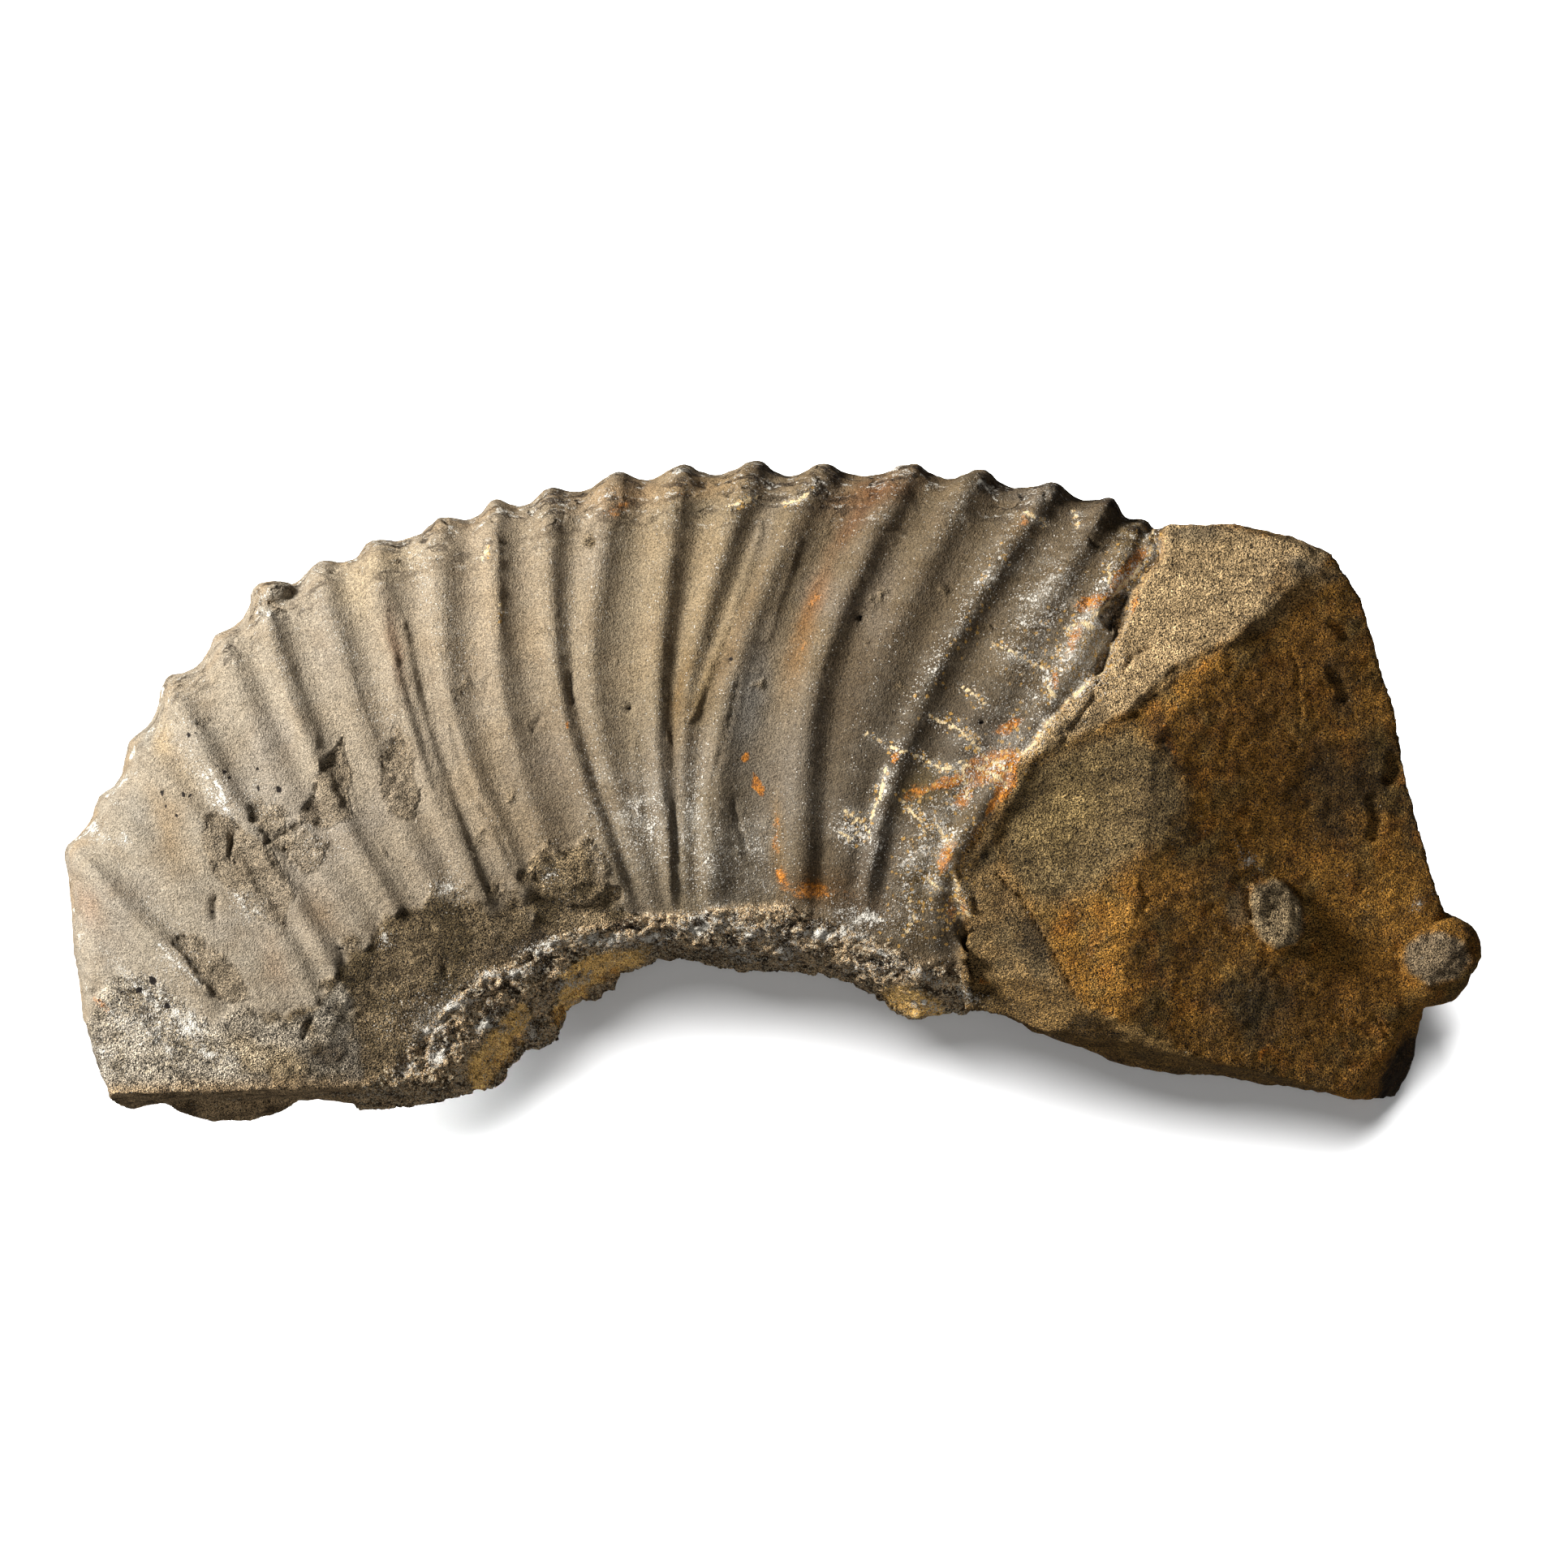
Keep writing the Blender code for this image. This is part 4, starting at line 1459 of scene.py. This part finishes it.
class StoneShader(Shader):
    """Colour and bump of the stone, from the masks at its vertices and noises of several sizes."""

    def __init__(self, tree):
        super().__init__(tree)
        turned = {"Vector": self.bent, "Rotation": (0.3, 0.2, -0.6), "Scale": (0.5, 1.2, 1.0)}
        self.fine = self.noise(0.42, 1.0)
        self.grit = self.noise(1.1, 2.0, 0.6)
        self.coarse = self.noise(5.5, 5.0, 0.72, self.node("Mapping", turned).outputs[0])
        self.rocky, self.crusty = self.attribute("rocky"), self.attribute("crust")
        self.whorl = 1.0 - self.rocky
        flow = self.node("SeparateXYZ", {0: self.attribute("flow", "Vector")}).outputs
        row, self.share, self.ledge = (Value(self, socket) for socket in flow)
        along = self.node("CombineXYZ", {0: row * 0.012, 1: self.share * 0.004})
        self.growth = self.noise(1.0, 2.0, 0.5, along.outputs[0])
        self.seam, self.edge_crumbs, self.layers = self.layered_edge()

    def layered_edge(self):
        """Thin layers along the coil's outer edge: painted shade where each steps down, pale
        crumbs, height.
        """
        saw = self.math("FRACT", self.grit * 0.3 + (self.share * 26.0 + self.coarse * 3.0))
        broken = self.ledge * self.ramp(self.noise(8.0, 1.0), 0.40, 0.50)
        rim = self.ramp(saw, 0.48, 0.56) * self.ramp(saw, 0.66, 0.60)
        crumbs = rim * self.ramp(self.noise(2.0, 3.0), 0.50, 0.58)
        return self.ramp(saw, 0.60, 0.85) * broken, crumbs * broken, saw * broken

    def grained(self):
        """The painted colour with grain, then pits, sand and the crust's gaps, and its shade."""
        rocky, coarse = self.rocky, self.coarse
        shade = self.contrast(self.fine, rocky * 3.4 + 2.6)
        shade *= self.contrast(self.grit, rocky * 0.8 + 0.9)
        shade *= self.contrast(coarse, rocky * 2.4 + 0.6)
        shade *= self.contrast(self.growth, self.whorl * 0.35)
        hue = self.mix(self.ramp(coarse, 0.35, 0.7), WARM, COOL)
        colour = self.mix(1.0, self.attribute("tint", "Color"), hue, "MULTIPLY")
        colour = self.vector("SCALE", colour, shade)
        for size, amount, strength, factor in (
            (0.8, rocky * 0.10, 0.6, 0.3),
            (0.6, rocky * 0.10, 0.5, 2.2),
            (1.3, self.crusty * 0.5, 0.85, 0.2),
        ):
            found = self.grains(size, amount) * strength
            colour = self.mix(found, colour, self.vector("SCALE", colour, factor))
        return colour, shade

    def colour(self):
        """The stone's colour, and how white and how dusty it is."""
        coarse, grit, powder = self.coarse, self.grit, self.attribute("powder")
        colour, shade = self.grained()
        rust_tone = self.mix(self.ramp(grit, 0.35, 0.65), tone("dark rust"), tone("light rust"))
        rust = self.shown("rust", coarse * 0.8 + grit * 0.4, 0.75, 0.16)
        haze = powder * self.ramp(coarse, 0.42, 0.62) * 0.35 * (1.0 - self.crusty)
        flakes = self.grains(1.1, powder * 0.6 + -0.25)
        dust = self.math("MAXIMUM", self.grains(0.42, powder * 0.55), flakes)
        broken = self.noise(1.5, 3.0, 0.7) * 1.1 + self.fine * 0.3
        white = self.math("MAXIMUM", self.shown("white", broken, 0.75), self.edge_crumbs)
        for amount, over in (
            (self.grains(0.8, self.crusty * 0.42) * 0.8, tone("crumb")),
            # Painted shade where the thin edge layers step down.
            (self.seam * 0.85, tone("seam")),
            (rust * 0.85, self.vector("SCALE", rust_tone, shade)),
            (self.grains(1.2, self.attribute("gold") * 0.5) * 0.7, tone("gold")),
            (haze, tone("haze")),
            (dust * 0.75, tone("dust")),
            (self.shown("veins", broken, 0.6), tone("vein")),
            (white, tone("white")),
            (self.shown("specks", grit, 0.9), tone("speck")),
        ):
            colour = self.mix(amount, colour, over)
        return colour, white, dust

    def bump(self, white, dust):
        """Normal from the small relief that is too fine for the mesh."""
        rocky = self.rocky
        height = (self.grit * 0.8 + self.fine * 0.8) * (rocky + 0.5)
        height += self.coarse * (rocky * 3.4 + 0.5)
        height += self.math("MAXIMUM", white, dust) * 0.25
        height += self.growth * (self.whorl * 0.2)
        height += self.layers * -1.5
        return self.node("Bump", {"Distance": MM, "Strength": 1.0, "Height": height}).outputs[0]


def stone_material():
    material = bpy.data.materials.new("stone")
    material.use_nodes = True
    shader = StoneShader(material.node_tree)
    surface = material.node_tree.nodes["Principled BSDF"].inputs
    colour, white, dust = shader.colour()
    shader.link(colour, surface["Base Color"])
    shader.link(white * -0.35 + 0.85, surface["Roughness"])
    shader.link(0.2, surface["Specular IOR Level"])
    shader.link(shader.bump(white, dust), surface["Normal"])
    return material


# -------------------- the stone


# Readiness to be thinned, from 0 to 1: the resting side, the steep sides, the unmarked top.
THINNING = (0.95, 0.75, 0.1)
THINNING_FACTOR = 0.1


def decimated(obj, most, marked):
    """Thins the skin to `most` triangles: least at the marked vertices and on the upper surface."""
    mesh = obj.data
    points, normals = points_of(mesh), normals_of(mesh)
    group = obj.vertex_groups.new(name="plain")
    bottom = points[:, 2] < 1
    side = (normals[:, 2] < 0.25) & ~bottom
    for chosen, weight in zip((bottom, side, ~bottom & ~side & ~marked), THINNING):
        group.add(np.flatnonzero(chosen).tolist(), weight, "REPLACE")
    modifier = obj.modifiers.new("fewer", "DECIMATE")
    modifier.ratio = most / (2 * len(mesh.polygons))
    modifier.vertex_group = group.name
    modifier.vertex_group_factor = THINNING_FACTOR
    modifier.use_collapse_triangulate = True
    apply_modifiers(obj)


def stone():
    rows = np.append(np.arange(0, WHORL_END, 1 / STATIONS_PER_RIB), WHORL_END)
    grid, shares, ribs = whorl_points(rows, RING_POINTS)
    guide = Guide(grid, rows, shares, ribs)
    obj = joined([whorl(grid), block()] + [lump(*sizes) for (sizes,) in LUMPS])
    remeshed(obj, VOXEL)
    s = Surface(points_of(obj.data), normals_of(obj.data), guide)
    moved = s.points + s.normals * relief(s)[:, None]
    moved[:, 2] = np.maximum(moved[:, 2], 0)
    set_points(obj.data, moved)
    found = masks(s)
    marked = (found["veins"] > 0.1) | (found["white"] > 0.15) | (found["specks"] > 0.1)
    marked |= s.crust * s.up > 0.5
    decimated(obj, MOST_TRIANGLES, marked)
    s = Surface(points_of(obj.data), normals_of(obj.data), guide)
    add_attribute(obj.data, "tint", colours(s))
    for name, values in masks(s).items():
        add_attribute(obj.data, name, values)
    set_points(obj.data, points_of(obj.data) * MM)
    obj.data.materials.clear()
    obj.data.materials.append(stone_material())
    obj.data.shade_smooth()
    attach(obj, "root")
    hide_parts(NODE)
    return obj


# -------------------- floor, light and camera


MIDDLE = Vector((0, 0, 0.05))
SOFTBOX_DISTANCE = 2.0
SHEET_SIZE = 12
SHEET_TONE = 0.93


def floor():
    """A plain pale surface that throws no light back up."""
    bpy.ops.mesh.primitive_plane_add(size=SHEET_SIZE, location=(0, 0, 0))
    obj = bpy.context.object
    obj.name = "floor"
    material = bpy.data.materials.new("floor")
    material.use_nodes = True
    surface = material.node_tree.nodes["Principled BSDF"].inputs
    surface["Base Color"].default_value = (SHEET_TONE, SHEET_TONE, SHEET_TONE, 1)
    surface["Roughness"].default_value = 0.9
    surface["Specular IOR Level"].default_value = 0.1
    obj.data.materials.append(material)
    obj.visible_diffuse = False
    obj.visible_glossy = False
    return obj


def lamp(name, light, place, target, lit):
    """A light at one place, aimed at another, that shines on one object."""
    obj = bpy.data.objects.new(name, light)
    bpy.context.scene.collection.objects.link(obj)
    obj.location = place
    obj.rotation_euler = (Vector(place) - Vector(target)).to_track_quat("Z", "Y").to_euler()
    receivers = bpy.data.collections.new(f"lit by {name}")
    receivers.objects.link(lit)
    obj.light_linking.receiver_collection = receivers


def softbox(name, direction, size, power, lit):
    """A round soft lamp above the middle of the stone."""
    light = bpy.data.lights.new(name, "AREA")
    light.shape = "DISK"
    light.size = size
    light.energy = power
    place = MIDDLE + Vector(direction).normalized() * SOFTBOX_DISTANCE
    lamp(name, light, place, MIDDLE, lit)


def spotlight(name, place, target, cone, power, lit):
    """A soft-edged pool of light, its cone in degrees."""
    light = bpy.data.lights.new(name, "SPOT")
    light.spot_size = math.radians(cone)
    light.spot_blend = 0.8
    light.shadow_soft_size = 0.03
    light.energy = power
    lamp(name, light, place, target, lit)


def world(strength):
    scene_world = bpy.data.worlds.new("studio")
    scene_world.use_nodes = True
    background = scene_world.node_tree.nodes["Background"]
    background.inputs["Color"].default_value = (1, 1, 1, 1)
    background.inputs["Strength"].default_value = strength
    bpy.context.scene.world = scene_world


def camera():
    data = bpy.data.cameras.new("camera")
    data.lens = LENS
    data.sensor_width = SENSOR
    data.clip_start, data.clip_end = 0.1, 50
    obj = bpy.data.objects.new("camera", data)
    bpy.context.scene.collection.objects.link(obj)
    obj.location = AIM + DISTANCE * BACKWARD
    obj.rotation_euler = BACKWARD.to_track_quat("Z", "Y").to_euler()
    bpy.context.scene.camera = obj


camera()
the_stone = stone()
the_floor = floor()
softbox("key", (-0.80, 0.33, 0.51), 0.6, 108, the_stone)
softbox("bounce", (0.15, -0.88, 0.45), 1.0, 9, the_stone)
softbox("top", (-0.14, 0.43, 0.87), 1.7, 208, the_floor)
softbox("fill", (0.0, -0.35, 0.93), 1.4, 9, the_floor)
spotlight("foot", (-0.165, -0.42, 0.26), (-0.165, -0.115, 0), 25, 14, the_floor)
world(0.075)
bpy.context.scene.view_settings.view_transform = "Standard"
